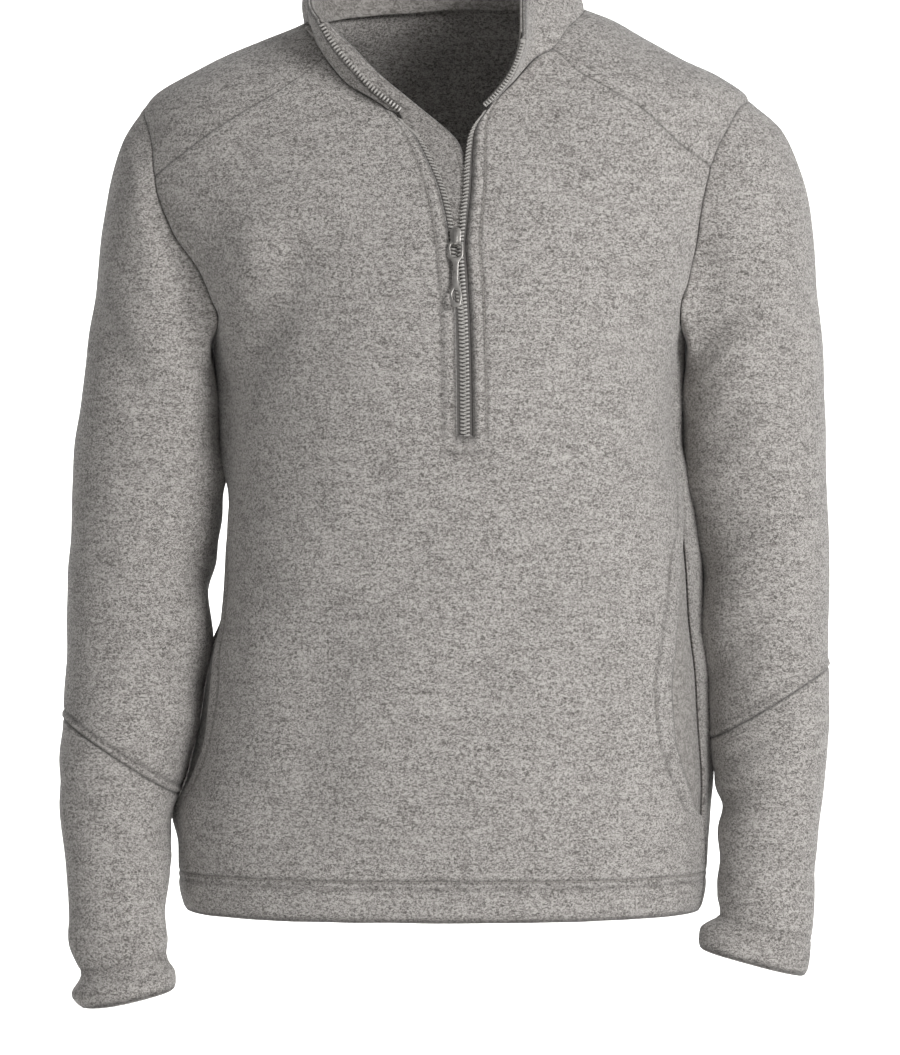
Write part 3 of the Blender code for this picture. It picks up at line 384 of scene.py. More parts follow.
@dataclass
class Cut:
    """The panels' seams and edges on the body, read by grid row or column as in the CAD."""

    body: BodyForm
    SIDE_LEVELS = (-692.5, -665, -644, -622, -600, -575, -545, -515, -485, -455, -425, -398,
                   -372, -335, -290, -251)
    ZIP_LEVELS = (-692.5, -665, -640, -612, -584, -556, -528, -500, -472, -444, -416, -388,
                  -360, -333, -290, -250, -210, -180, -155, -130, -110)
    SIDE_SEAMS = ((-692.5, -94, 76), (-430, -94, 77), (-330, -93, 84), (-251, -90, 90))
    POCKET_MOUTH = ((0.0, 0.0), (0.13, 3.0), (0.22, 8.0), (0.32, 11.0), (0.45, 15.5),
                    (0.61, 20.0), (0.73, 19.5), (0.82, 17.0), (0.9, 13.0), (0.97, 7.0),
                    (1.0, 0.0))
    MOUTH_TOP, MOUTH_BOTTOM = -372 * MM, -622 * MM
    ZIP_EDGES = ((-333, 4.5, 18.0), (-290, 4.0, 17.3), (-245, 3.4, 16.2), (-210, 1.0, 14.2),
                 (-190, -1.0, 12.8), (-172, -3.7, 14.4), (-147, -9.6, 17.0),
                 (-123, -19.3, 17.9), (-108, -27.0, 19.0), (-92, -40.5, 23.0),
                 (-86, -46.0, 29.0))
    KINKS = {Side.RIGHT: (-9.7, -91.8), Side.LEFT: (7.2, -86.0)}
    FRONT_ARMHOLES = {
        Side.RIGHT: Seam(((-90, -251), (-77, -248), (-69, -236), (-66.5, -213),
                          (-66.3, -190), (-65, -165), (-64, -135))),
        Side.LEFT: Seam(((90, -251), (77, -248), (68.5, -234), (66.6, -212), (66.3, -194),
                         (63, -165), (60, -128)))}
    YOKE_ARMHOLES = {
        Side.RIGHT: Seam(((-64, -135), (-64.5, -117), (-69, -96), (-78, -81), (-90, -74))),
        Side.LEFT: Seam(((60, -128), (60.5, -113), (63, -94), (72, -78), (90, -71)))}
    BACK_ARMHOLES = {
        Side.RIGHT: Seam(((-90, -74), (-106, -82), (-117, -104), (-121, -142), (-118, -184),
                          (-111, -221), (-100, -244), (-90, -251))),
        Side.LEFT: Seam(((90, -71), (106, -80), (117, -102), (121, -140), (118, -182),
                         (111, -220), (100, -243), (90, -251)))}
    SHOULDER_SEAMS = {
        Side.RIGHT: Seam(((-64, -135), (-52, -117), (-44, -101), (-37, -85), (-31.5, -69),
                          (-29.3, -57), (-28.5, -47))),
        Side.LEFT: Seam(((60, -128), (49, -114), (41.4, -99), (36, -84), (29.7, -70),
                         (25.9, -57.5), (24.6, -41)))}
    FRONT_NECK = {
        Side.RIGHT: Seam(((-28.5, -47), (-23.5, -58), (-18.2, -71.5), (-13.5, -82),
                          (-9.7, -91.8))),
        Side.LEFT: Seam(((24.6, -41), (19.6, -47), (14.4, -59.5), (10.4, -73.5),
                         (7.2, -86.0)))}
    YOKE_NECK = {
        Side.RIGHT: Seam(((-90, -10), (-70, -13), (-52, -21), (-37.7, -32), (-28.5, -47))),
        Side.LEFT: Seam(((90, 2), (70, -3), (51, -11), (36, -23), (24.6, -41)))}
    BACK_NECK = Seam(((90, 2), (120, 7), (150, 11), (180, 12), (210, 9), (240, 1),
                      (270, -10)))
    RIDGES = {Side.RIGHT: Seam(((-90, -74), (-90, -10))),
              Side.LEFT: Seam(((90, -71), (90, 2)))}
    UNDERARM, FRONT_TOP, BACK_TOP, SLIT = 15, 21, 24, 13
    FRONT_BEND, BACK_BEND = 3.0, (6.0, 2.2)
    DROOP, DROOP_ROWS, DROOP_SHARE = 30 * MM, 1.4, 0.2
    NECK_COUNT = 24
    BOX_ROWS = 0.32  # how far the zip's stitched box reaches below the slit
    HEM_ROW = 27.5  # height of the lowest grid row

    def side_seam(self, rows: Array, side: Side) -> Array:
        """Reads a side seam.

        Args:
            rows: grid rows from the hem, up to the underarm.
            side: which half.
        Returns:
            Angle and height.
        """
        heights = np.interp(rows, np.arange(len(self.SIDE_LEVELS)), self.SIDE_LEVELS)
        angles = smooth(self.SIDE_SEAMS, heights, 1 if side is Side.RIGHT else 2)
        return np.stack([np.radians(angles), heights * MM], axis=-1)

    def front_outer(self, rows: Array, side: Side) -> Array:
        """Reads the front's outer edge: the pocket's mouth, side seam and armhole.

        Args:
            rows: grid rows from the hem to the shoulder seam.
            side: which half.
        Returns:
            Angle and height.
        """
        low = self.side_seam(np.minimum(rows, self.UNDERARM), side)
        down = (self.MOUTH_TOP - low[..., 1]) / (self.MOUTH_TOP - self.MOUTH_BOTTOM)
        forward = np.radians(smooth(self.POCKET_MOUTH, np.clip(down, 0, 1), 1))
        low[..., 0] += forward if side is Side.RIGHT else -forward
        share = (rows - self.UNDERARM) / (self.FRONT_TOP - self.UNDERARM)
        high = self.FRONT_ARMHOLES[side].at(share)
        return np.where((rows > self.UNDERARM)[..., None], high, low)

    def front_inner(self, rows: Array, side: Side) -> Array:
        """Reads the front's edge along the zip and the line below it.

        Args:
            rows: grid rows from the hem to the neck seam.
            side: which half.
        Returns:
            Angle and height.
        """
        angle, height = self.KINKS[side]
        levels = (*self.ZIP_LEVELS, height)
        heights = np.interp(rows, np.arange(len(levels)), levels)
        column = 1 if side is Side.RIGHT else 2
        x = smooth(self.ZIP_EDGES, np.maximum(heights, self.ZIP_EDGES[0][0]), column) * MM
        angles = self.body.front_angle(x, heights * MM)
        last = np.clip(rows - (self.FRONT_TOP - 1), 0, 1) ** 3
        angles = angles * (1 - last) + math.radians(angle) * last
        return np.stack([angles, heights * MM], axis=-1)

    def front_top(self, columns: Array, side: Side) -> Array:
        """Reads the front's top edge: the shoulder seam and the neck seam.

        Args:
            columns: grid columns, 0 at the armhole and 10 at the zip.
            side: which half.
        Returns:
            Angle and height.
        """
        shoulder = self.SHOULDER_SEAMS[side].at(columns / 6)
        neck = self.FRONT_NECK[side].at((columns - 6) / 4)
        return np.where((columns > 6)[..., None], neck, shoulder)

    def droop(self, rows: Array, share: Array) -> Array:
        """Lowers the grid beside the underarm, as the CAD does.

        Args:
            rows: grid rows.
            share: the way across from the side seam.
        Returns:
            Heights to add.
        """
        near_row = np.exp(-((rows - self.UNDERARM) / self.DROOP_ROWS) ** 2)
        near_side = share / self.DROOP_SHARE * np.exp(1 - share / self.DROOP_SHARE)
        return -self.DROOP * near_row * near_side * (1 - share)

    @staticmethod
    def patch(bottom: tuple, top: tuple, outer: Array, inner: Array,
              share: Array, up: Array, bend: tuple | float) -> Array:
        """Fills the space between four edges.

        Args:
            bottom: the bottom edge at the asked columns, at its start and at its end.
            top: the top edge in the same way.
            outer: the first edge at the asked rows.
            inner: the last edge at the asked rows.
            share: the way across, for each place.
            up: the way up, for each place.
            bend: how fast the edges' shapes fade into the patch.
        Returns:
            Angle and height.
        """
        share, up = share[..., None], up[..., None]
        bend = np.asarray(bend, float)
        low = bottom[0] - (bottom[1] * (1 - share) + bottom[2] * share)
        high = top[0] - (top[1] * (1 - share) + top[2] * share)
        return (outer * (1 - share) + inner * share + low * (1 - up) ** bend
                + high * up ** bend)

    def front(self, rows: Array, columns: Array, side: Side) -> Array:
        """Reads places on a half of the front.

        Args:
            rows: grid rows from 0 at the hem to 21 at the shoulder and neck seams.
            columns: grid columns from 0 at the side to 10 at the zip.
            side: which half.
        Returns:
            Angle and height.
        """
        rows, columns = spread(rows, columns)
        outer, inner = self.front_outer(rows, side), self.front_inner(rows, side)
        zero, share = np.zeros(()), columns / 10
        top = (self.front_top(columns, side), self.front_top(zero, side),
               self.front_top(zero + 10, side))
        flat = (np.zeros(2),) * 3
        place = self.patch(flat, top, outer, inner, share, rows / self.FRONT_TOP,
                           self.FRONT_BEND)
        place[..., 1] += self.droop(rows, share)
        return place

    def back(self, rows: Array, columns: Array) -> Array:
        """Reads places on the back below the shoulders' ridges.

        Args:
            rows: grid rows from 0 at the hem to 24 at the ridges and the neck.
            columns: grid columns from 0 at the left side seam to 20 at the right.
        Returns:
            Angle and height.
        """
        rows, columns = spread(rows, columns)
        heights, lengths = self.body.side_lengths()

        def unrolled(place: Array) -> Array:
            return np.stack([place[..., 0], np.interp(place[..., 1], heights, lengths)], -1)

        def edge(side: Side) -> Array:
            low = self.side_seam(np.minimum(rows, self.UNDERARM), side)
            share = (self.BACK_TOP - rows) / (self.BACK_TOP - self.UNDERARM)
            high = self.BACK_ARMHOLES[side].at(share)
            return unrolled(onward(np.where((rows > self.UNDERARM)[..., None], high, low)))

        def top(at: Array) -> Array:
            left = self.RIDGES[Side.LEFT].at(at / 6)
            right = onward(self.RIDGES[Side.RIGHT].at((20 - at) / 6))
            neck = self.BACK_NECK.at((at - 6) / 8)
            found = np.where((at > 6)[..., None], neck, left)
            return unrolled(np.where((at > 14)[..., None], right, found))

        zero, share = np.zeros(()), columns / 20
        tops = (top(columns), top(zero), top(zero + 20))
        flat = (np.zeros(2),) * 3
        place = self.patch(flat, tops, edge(Side.LEFT), edge(Side.RIGHT), share,
                           rows / self.BACK_TOP, self.BACK_BEND)
        place[..., 1] = np.interp(place[..., 1], lengths, heights)
        for way in (share, 1 - share):
            place[..., 1] += self.droop(rows, np.minimum(2 * way, 1))
        return place

    def yoke(self, rows: Array, columns: Array, side: Side) -> Array:
        """Reads places on the back's part in front of a shoulder's ridge.

        Args:
            rows: grid rows from 0 at the ridge to 4 at the shoulder seam.
            columns: grid columns from 0 at the armhole to 6 at the neck.
            side: which half.
        Returns:
            Angle and height.
        """
        rows, columns = spread(rows, columns)
        up, share, zero = rows / 4, columns / 6, np.zeros(())
        ridge, joined = self.RIDGES[side], self.SHOULDER_SEAMS[side]
        return self.patch((ridge.at(share), ridge.at(zero), ridge.at(zero + 1)),
                          (joined.at(share), joined.at(zero), joined.at(zero + 1)),
                          self.YOKE_ARMHOLES[side].at(1 - up), self.YOKE_NECK[side].at(up),
                          share, up, 1.0)

    def armhole(self, at: Array, side: Side) -> Array:
        """Reads the armhole from the underarm up the front and down the back.

        Args:
            at: places from 0 to 19, where 10 is the top of the shoulder.
            side: which half.
        Returns:
            Angle and height.
        """
        at = np.asarray(at, float)[..., None]
        low = self.FRONT_ARMHOLES[side].at(at[..., 0] / 6)
        mid = self.YOKE_ARMHOLES[side].at((at[..., 0] - 6) / 4)
        back = self.BACK_ARMHOLES[side].at((at[..., 0] - 10) / 9)
        return np.where(at <= 6, low, np.where(at <= 10, mid, back))

    def neck(self, at: Array) -> Array:
        """Reads the neck seam from the zip's right side round to its left side.

        Args:
            at: places from 0 to 24, where 12 is the back's middle.
        Returns:
            Angle and height.
        """
        at = np.asarray(at, float)[..., None]
        q = at[..., 0]
        return np.where(at <= 4, self.FRONT_NECK[Side.RIGHT].at(1 - q / 4),
               np.where(at <= 8, self.YOKE_NECK[Side.RIGHT].at(1 - (q - 4) / 4),
               np.where(at <= 16, self.BACK_NECK.at(1 - (q - 8) / 8) - [2 * np.pi, 0],
               np.where(at <= 20, self.YOKE_NECK[Side.LEFT].at((q - 16) / 4),
                        self.FRONT_NECK[Side.LEFT].at((q - 20) / 4)))))


# --- meshes


def positions(count: int, refine: int, near_start: bool = True, near_end: bool = True,
              ) -> Array:
    """Spreads grid lines, closer together beside a seam or hem.

    Args:
        count: how many CAD grid cells are crossed.
        refine: fine cells in each of them.
        near_start: whether lines crowd at the start.
        near_end: whether lines crowd at the end.
    Returns:
        Places from 0 to count.
    """
    even = list(np.linspace(0, count, count * refine + 1))
    close = (0.03, 0.07)
    extra = [c for c in close if near_start] + [count - c for c in close if near_end]
    return np.array(sorted(even + extra))


@dataclass(frozen=True)
class EdgeStyle:
    """How cloth lies beside an edge: distances and rises in millimetres. Its edge_shade and
    row_shade darken the cloth by the edge and along the rows as painted shade, partly
    standing for compressed nap.
    """

    roll: float = 1.3
    roll_width: float = 1.5
    puff: float = 0.35
    puff_at: float = 4.0
    puff_width: float = 2.6
    rows: tuple[float, ...] = ()
    row_depth: float = 0.45
    row_width: float = 1.3
    edge_shade: float = 0.8
    row_shade: float = 0.55


SEAM_EDGE = EdgeStyle(roll=0.55, roll_width=1.0, edge_shade=0.35)
FLAT_SEAM = EdgeStyle(roll=0.5, roll_width=0.9, puff=0.25, edge_shade=0.6)
CORDED_SEAM = EdgeStyle(roll=1.2, roll_width=1.3, puff=1.6, puff_at=3.4, puff_width=1.6,
                        rows=(6.6,), row_depth=0.9, row_width=1.1, row_shade=0.7,
                        edge_shade=0.95)
HEM_EDGE = EdgeStyle(roll=1.2, roll_width=2.2, puff=0.6, puff_at=12, puff_width=10,
                     rows=(25.5, 30.0), row_depth=0.9, row_width=1.1, row_shade=0.7)
CUFF_EDGE = EdgeStyle(roll=1.2, roll_width=2.2, puff=0.6, puff_at=12, puff_width=9,
                      rows=(26.0, 29.0), row_depth=0.8, row_width=1.0, row_shade=0.35)
ZIP_FOLD = EdgeStyle(roll=0.9, roll_width=1.6, puff=0.5, puff_at=4.5, puff_width=3.4,
                     rows=(9.5,), row_depth=0.8, row_width=1.3, row_shade=0.7)
MOUTH_FOLD = EdgeStyle(roll=0.9, roll_width=1.6, puff=0.6, puff_at=9, puff_width=7,
                       rows=(19.0,), row_depth=0.9, row_width=1.4, row_shade=0.7)


def dress_edge(points: Array, normals: Array, nap_and_shade: Array, edge: Edge,
               style: EdgeStyle, mask: Array | None = None) -> None:
    """Rolls an edge in and presses its stitched rows, changing the points, and darkens the
    edge and rows as painted shade, partly standing for compressed nap.

    Args:
        points: a grid of points.
        normals: the outward directions there.
        nap_and_shade: how dark the cloth is painted there, which grows along the rows:
            painted shade in the rolls and the rows' dips, partly compressed nap.
        edge: which side of the grid.
        style: how that edge is made.
        mask: a weight for each line that ends at the edge.
    """
    line = {Edge.BOTTOM: points[:1], Edge.TOP: points[-1:],
            Edge.FIRST: points[:, :1], Edge.LAST: points[:, -1:]}[edge]
    away = np.linalg.norm(points - line, axis=-1) / MM
    rise = (-style.roll * np.exp(-(away / style.roll_width) ** 2)
            + style.puff * np.exp(-((away - style.puff_at) / style.puff_width) ** 2))
    shade = style.edge_shade * np.exp(-(away / (1.2 * style.roll_width)) ** 2)
    for place in style.rows:
        row = np.exp(-((away - place) / style.row_width) ** 2)
        rise -= style.row_depth * row
        shade += style.row_shade * row
    if mask is not None:
        weight = mask[None, :] if edge in (Edge.BOTTOM, Edge.TOP) else mask[:, None]
        rise, shade = rise * weight, shade * weight
    points += normals * (rise * MM)[..., None]
    np.maximum(nap_and_shade, np.clip(shade, 0, 1), out=nap_and_shade)


def numbered(points: Array, start: int = 0) -> Array:
    """Numbers a grid of points, in its shape, from a start on."""
    return start + np.arange(points[..., 0].size).reshape(points.shape[:2])


def grid_quads(index: Array, closed: bool = False) -> list[tuple[int, int, int, int]]:
    """Lists the faces of a grid of vertex numbers.

    Args:
        index: the grid.
        closed: whether the last column meets the first.
    Returns:
        Four vertex numbers a face.
    """
    after = np.roll(index, -1, axis=1) if closed else index[:, 1:]
    here = index if closed else index[:, :-1]
    quads = np.stack([here[:-1], after[:-1], after[1:], here[1:]], axis=-1)
    return [tuple(q) for q in quads.reshape(-1, 4).tolist()]


def add_piece(name: str, mesh: bpy.types.Mesh, finish: Material, body: str,
              ) -> bpy.types.Object:
    """Makes a mesh into a piece that rides on a body.

    Args:
        name: the piece's name.
        mesh: its points and faces.
        finish: its material.
        body: the CAD body that carries it.
    Returns:
        The new object.
    """
    work = bmesh.new()
    work.from_mesh(mesh)
    bmesh.ops.remove_doubles(work, verts=work.verts, dist=1e-6)
    bmesh.ops.recalc_face_normals(work, faces=work.faces)
    work.to_mesh(mesh)
    work.free()
    mesh.materials.clear()
    mesh.materials.append(finish)
    mesh.shade_smooth()
    piece = bpy.data.objects.new(name, mesh)
    bpy.context.scene.collection.objects.link(piece)
    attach(piece, body)
    LOG.info("%s: %d vertices", name, len(mesh.vertices))
    return piece


class MeshMaker:
    """Collects vertices and faces for one object."""

    def __init__(self) -> None:
        """Starts empty."""
        self.blocks: list[Array] = []
        self.nap_and_shade: list[Array] = []
        self.faces: list[tuple[int, ...]] = []
        self.count = 0

    def add(self, points: Array, nap_and_shade: Array | None = None) -> Array:
        """Adds points.

        Args:
            points: an array whose last axis holds coordinates.
            nap_and_shade: how dark each point is painted: painted shade at seams, edges and
                creases, partly compressed nap.
        Returns:
            The vertex numbers, in the shape of the rest of the array.
        """
        flat = points.reshape(-1, 3)
        self.blocks.append(flat)
        self.nap_and_shade.append(np.zeros(len(flat)) if nap_and_shade is None else nap_and_shade.reshape(-1))
        index = self.count + np.arange(len(flat)).reshape(points.shape[:-1])
        self.count += len(flat)
        return index

    def tubes(self, rings: list[Array]) -> None:
        """Adds closed tubes.

        Args:
            rings: the points round every tube, one array a station along them.
        """
        for tube in self.add(np.stack(rings, axis=1)):
            self.faces += grid_quads(tube, closed=True)
            self.faces += [tuple(tube[0][::-1].tolist()), tuple(tube[-1].tolist())]

    def build(self, name: str, finish: Material) -> bpy.types.Object:
        """Makes the object, which rides on the garment.

        Args:
            name: the piece's name.
            finish: its material.
        Returns:
            The new object.
        """
        mesh = bpy.data.meshes.new(name)
        mesh.from_pydata(np.concatenate(self.blocks), [], self.faces)
        # This attribute carries painted shade, which the fleece material reads to darken the
        # cloth
        layer = mesh.attributes.new("nap_and_shade", "FLOAT", "POINT")
        layer.data.foreach_set("value", np.concatenate(self.nap_and_shade).astype(np.float32))
        return add_piece(name, mesh, finish, GARMENT)

    def wall(self, outer: Array, inner: Array, quads: list,
             nap_and_shade: Array | None = None) -> None:
        """Adds a thin shell with round lips.

        Args:
            outer: the outer sheet's points, numbered from 0.
            inner: the inner sheet's points in the same order.
            quads: faces of the outer sheet.
            nap_and_shade: how dark each outer point is painted: painted shade at seams, edges
                and creases, partly compressed nap.
        """
        base, outer, inner = self.count, outer.reshape(-1, 3), inner.reshape(-1, 3)
        self.add(outer, nap_and_shade)
        self.add(inner)
        count = len(outer)
        seen: dict[tuple[int, int], tuple[int, int, int]] = {}
        for quad in quads:
            for i in range(4):
                a, b = quad[i], quad[(i + 1) % 4]
                key = (a, b) if a < b else (b, a)
                if key in seen:
                    del seen[key]
                else:
                    seen[key] = (a, b, quad[(i + 2) % 4])
        self.faces += [tuple(base + i for i in quad) for quad in quads]
        self.faces += [tuple(base + count + i for i in reversed(quad)) for quad in quads]
        middle: dict[int, int] = {}
        lips = []
        for a, b, third in seen.values():
            for end, other in ((a, b), (b, a)):
                if end not in middle:
                    along = unit(outer[other] - outer[end])
                    away = outer[end] - outer[third]
                    away = unit(away - along * float(away @ along))
                    thick = float(np.linalg.norm(outer[end] - inner[end]))
                    middle[end] = base + 2 * count + len(lips)
                    lips.append((outer[end] + inner[end]) / 2 + away * 0.42 * thick)
        self.add(np.array(lips).reshape(-1, 3))
        for a, b, _ in seen.values():
            self.faces.append((base + b, base + a, middle[a], middle[b]))
            self.faces.append((middle[b], middle[a], base + count + a, base + count + b))


# --- materials


def linear(colour: str) -> tuple[float, float, float, float]:
    """Turns an sRGB hex colour into linear light.

    Args:
        colour: six hex digits after a hash.
    Returns:
        Red, green, blue and alpha.
    """
    parts = [int(colour[i:i + 2], 16) / 255 for i in (1, 3, 5)]
    light = [p / 12.92 if p <= 0.04045 else ((p + 0.055) / 1.055) ** 2.4 for p in parts]
    return light[0], light[1], light[2], 1.0


def set_inputs(tree: bpy.types.NodeTree, node: bpy.types.Node, inputs: dict) -> None:
    """Sets or links a node's inputs.

    Args:
        tree: the material's nodes.
        node: the node.
        inputs: values, sockets or nodes, whose first output counts, by name or number.
    """
    for name, value in inputs.items():
        if isinstance(value, bpy.types.Node):
            value = value.outputs[0]
        if isinstance(value, bpy.types.NodeSocket):
            tree.links.new(value, node.inputs[name])
        else:
            node.inputs[name].default_value = value


def add_node(tree: bpy.types.NodeTree, kind: str, inputs: dict | None = None,
             **settings: object) -> bpy.types.Node:
    """Adds a node with its settings and links.

    Args:
        tree: the material's nodes.
        kind: the node's type, without the ShaderNode that it starts with.
        inputs: what its inputs get, by name or number.
        settings: the node's own properties.
    Returns:
        The node.
    """
    node = tree.nodes.new("ShaderNode" + kind)
    for name, value in settings.items():
        setattr(node, name, value)
    set_inputs(tree, node, inputs or {})
    return node


def new_material(name: str) -> tuple[Material, bpy.types.NodeTree, bpy.types.Node]:
    """Starts a material.

    Args:
        name: what the real one is.
    Returns:
        The material, its nodes and its shader.
    """
    material = bpy.data.materials.new(name)
    material.use_nodes = True
    return material, material.node_tree, material.node_tree.nodes["Principled BSDF"]


@dataclass(frozen=True)
class HeatherFleece:
    """Polyester sweater fleece, knitted from melange yarn and brushed. Its pale and dark
    fibres give the eye small worm-like flecks about 2 mm long, in faint level rows."""

    name: str
    pale: str = "#b7b3af"
    dark: str = "#625e5b"
    fleck: str = "#383532"
    # seam is the colour that the painted shade at seams, rolled edges, stitched rows and the
    # zip guard darkens towards; seam_shade is how far
    seam: str = "#34312f"
    seam_shade: float = 0.85
    fleck_share: float = 0.7
    nap: float = 0.55
    yarn_mm: float = 1.5
    sheen: float = 0.2

    def build(self) -> Material:
        """Makes the material.

        Returns:
            The finished material.
        """
        material, tree, shader = new_material(self.name)
        place = add_node(tree, "TexCoord").outputs["Object"]
        knit = add_node(tree, "VectorMath", {0: place, 1: (1.0, 1.0, 1.45)},
                        operation="MULTIPLY")
        rows = add_node(tree, "VectorMath", {0: place, 1: (0.16, 0.16, 1.0)},
                        operation="MULTIPLY")
        yarn = add_node(tree, "TexNoise", {
            "Vector": knit, "Scale": 0.8 / (self.yarn_mm * MM), "Detail": 2.5,
            "Roughness": 0.62, "Distortion": 1.1})
        cloud = add_node(tree, "TexNoise", {
            "Vector": place, "Scale": 55.0, "Detail": 3.0, "Roughness": 0.6})
        streak = add_node(tree, "TexNoise", {
            "Vector": rows, "Scale": 330.0, "Detail": 2.0, "Roughness": 0.5})
        fuzz = add_node(tree, "TexNoise", {
            "Vector": place, "Scale": 1900.0, "Detail": 2.0, "Roughness": 0.6})
        sharp = add_node(tree, "MapRange", {
            "Value": yarn, "From Min": 0.38, "From Max": 0.60})
        soft = add_node(tree, "MapRange", {
            "Value": cloud, "From Min": 0.3, "From Max": 0.7, "To Min": -0.08,
            "To Max": 0.08})
        lines = add_node(tree, "MapRange", {
            "Value": streak, "From Min": 0.3, "From Max": 0.7, "To Min": -0.14,
            "To Max": 0.14})
        both = add_node(tree, "Math", {0: soft, 1: lines},
                        operation="ADD")
        blend = add_node(tree, "Math", {0: sharp, 1: both},
                         operation="ADD", use_clamp=True)
        colour = add_node(tree, "Mix", {
            "Factor": blend, 6: linear(self.dark), 7: linear(self.pale)},
            data_type="RGBA")
        spots = add_node(tree, "TexNoise", {
            "Vector": knit, "Scale": 1.05 / (self.yarn_mm * MM), "Detail": 1.0,
            "Roughness": 0.5, "Distortion": 0.6})
        spot = add_node(tree, "MapRange", {
            "Value": spots, "From Min": 0.60, "From Max": 0.70, "To Min": 0.0,
            "To Max": self.fleck_share})
        flecked = add_node(tree, "Mix", {
            "Factor": spot, 6: colour.outputs[2], 7: linear(self.fleck)},
            data_type="RGBA")
        # Painted shade: darkens towards the seam colour where the attribute is high, at
        # seams, rolled edges, stitched rows and the zip guard, partly standing for compressed
        # nap
        nap = add_node(tree, "Attribute", attribute_name="nap_and_shade")
        flat = add_node(tree, "Math", {0: nap.outputs["Fac"], 1: self.seam_shade},
                        operation="MULTIPLY")
        sewn = add_node(tree, "Mix", {
            "Factor": flat, 6: flecked.outputs[2], 7: linear(self.seam)},
            data_type="RGBA")
        relief = add_node(tree, "Math", {0: yarn, 1: fuzz},
                          operation="ADD")
        bump = add_node(tree, "Bump", {
            "Height": relief, "Strength": self.nap, "Distance": 0.45 * MM})
        set_inputs(tree, shader, {
            "Base Color": sewn.outputs[2], "Normal": bump, "Roughness": 0.95,
            "Specular IOR Level": 0.2, "Sheen Weight": self.sheen, "Sheen Roughness": 0.6})
        return material


@dataclass(frozen=True)
class WovenTape:
    """Woven polyester, as in zip tapes and thread: a fine rib shows as soft lines."""

    name: str
    # The default colours are darker than the real light grey tape: painted shade for the tape
    # lying sunk between the cloth edges
    colour: str = "#7d7a77"
    shade: str = "#4d4a48"
    rib_mm: float = 0.8
    roughness: float = 0.75

    def build(self) -> Material:
        """Makes the material.

        Returns:
            The finished material.
        """
        material, tree, shader = new_material(self.name)
        place = add_node(tree, "TexCoord").outputs["Object"]
        rib = add_node(tree, "TexWave", {
            "Vector": place, "Scale": 0.31 / (self.rib_mm * MM), "Distortion": 1.5,
            "Detail": 1.0}, bands_direction="Z")
        grain = add_node(tree, "TexNoise", {
            "Vector": place, "Scale": 900.0, "Detail": 2.0})
        mixed = add_node(tree, "Math", {0: rib.outputs[1], 1: grain},
                         operation="MULTIPLY")
        colour = add_node(tree, "Mix", {
            "Factor": mixed, 6: linear(self.shade), 7: linear(self.colour)},
            data_type="RGBA")
        bump = add_node(tree, "Bump", {
            "Height": mixed, "Strength": 0.5, "Distance": 0.2 * MM})
        set_inputs(tree, shader, {
            "Base Color": colour.outputs[2], "Normal": bump, "Roughness": self.roughness,
            "Sheen Weight": 0.15})
        return material


@dataclass(frozen=True)
class HardFinish:
    """Moulded plastic or plated zinc: slight unevenness breaks its highlights."""

    name: str
    colour: str
    worn: str
    metallic: float
    roughness: float

    def build(self) -> Material:
        """Makes the material.

        Returns:
            The finished material.
        """
        material, tree, shader = new_material(self.name)
        place = add_node(tree, "TexCoord").outputs["Object"]
        haze = add_node(tree, "TexNoise", {
            "Vector": place, "Scale": 420.0, "Detail": 3.0})
        colour = add_node(tree, "Mix", {
            "Factor": haze, 6: linear(self.colour), 7: linear(self.worn)},
            data_type="RGBA")
        rough = add_node(tree, "MapRange", {
            "Value": haze, "To Min": self.roughness - 0.08,
            "To Max": self.roughness + 0.12})
        bump = add_node(tree, "Bump", {
            "Height": haze, "Strength": 0.15, "Distance": 0.1 * MM})
        set_inputs(tree, shader, {
            "Base Color": colour.outputs[2], "Normal": bump, "Roughness": rough,
            "Metallic": self.metallic})
        return material


# --- stitching


@dataclass(frozen=True)
class StitchSize:
    """A lockstitch of spun polyester thread, in millimetres."""

    length: float = 2.7
    gap: float = 0.6
    half_width: float = 0.32
    half_height: float = 0.26


@dataclass
class Stitching:
    """Rows of stitches, gathered into one piece."""

    size: StitchSize = StitchSize()
    maker: MeshMaker = field(default_factory=MeshMaker)
    SIDES = 6

    def row(self, line: Array, normals: Array, sunk: float = 0.25) -> None:
        """Adds a row of stitches along a line.

        Args:
            line: points along the row.
            normals: the cloth's outward directions there.
            sunk: how deep the thread's middle lies, in millimetres.
        """
        lengths = distances(line) / MM
        pitch = self.size.length + self.size.gap
        count = int(lengths[-1] / pitch)
        if count < 1:
            return
        starts = (np.arange(count) + 0.5) * lengths[-1] / count

        def read(values: Array, at: Array) -> Array:
            return np.stack([np.interp(at, lengths, values[:, i]) for i in range(3)], -1)

        middle = read(line, starts)
        out = unit(read(normals, starts))
        along = unit(read(line, starts + 0.5) - read(line, starts - 0.5))
        across = unit(np.cross(out, along))
        middle = middle - out * sunk * MM
        shape = ((-0.5, 0.35, -0.35), (-0.3, 0.95, 0.1), (0.0, 1.0, 0.2), (0.3, 0.95, 0.1),
                 (0.5, 0.35, -0.35))
        turn = np.linspace(0, 2 * np.pi, self.SIDES, endpoint=False)
        rings = []
        for place, thick, lift in shape:
            ring = (middle[:, None] + along[:, None] * place * self.size.length * MM
                    + out[:, None] * (lift * self.size.half_height * MM)
                    + across[:, None] * (np.cos(turn) * thick * self.size.half_width
                                         * MM)[None, :, None]
                    + out[:, None] * (np.sin(turn) * thick * self.size.half_height
                                      * MM)[None, :, None])
            rings.append(ring)
        self.maker.tubes(rings)

    def build(self, name: str, finish: Material) -> None:
        """Makes the piece, if any row was added."""
        if self.maker.blocks:
            self.maker.build(name, finish)


# --- cloth pieces


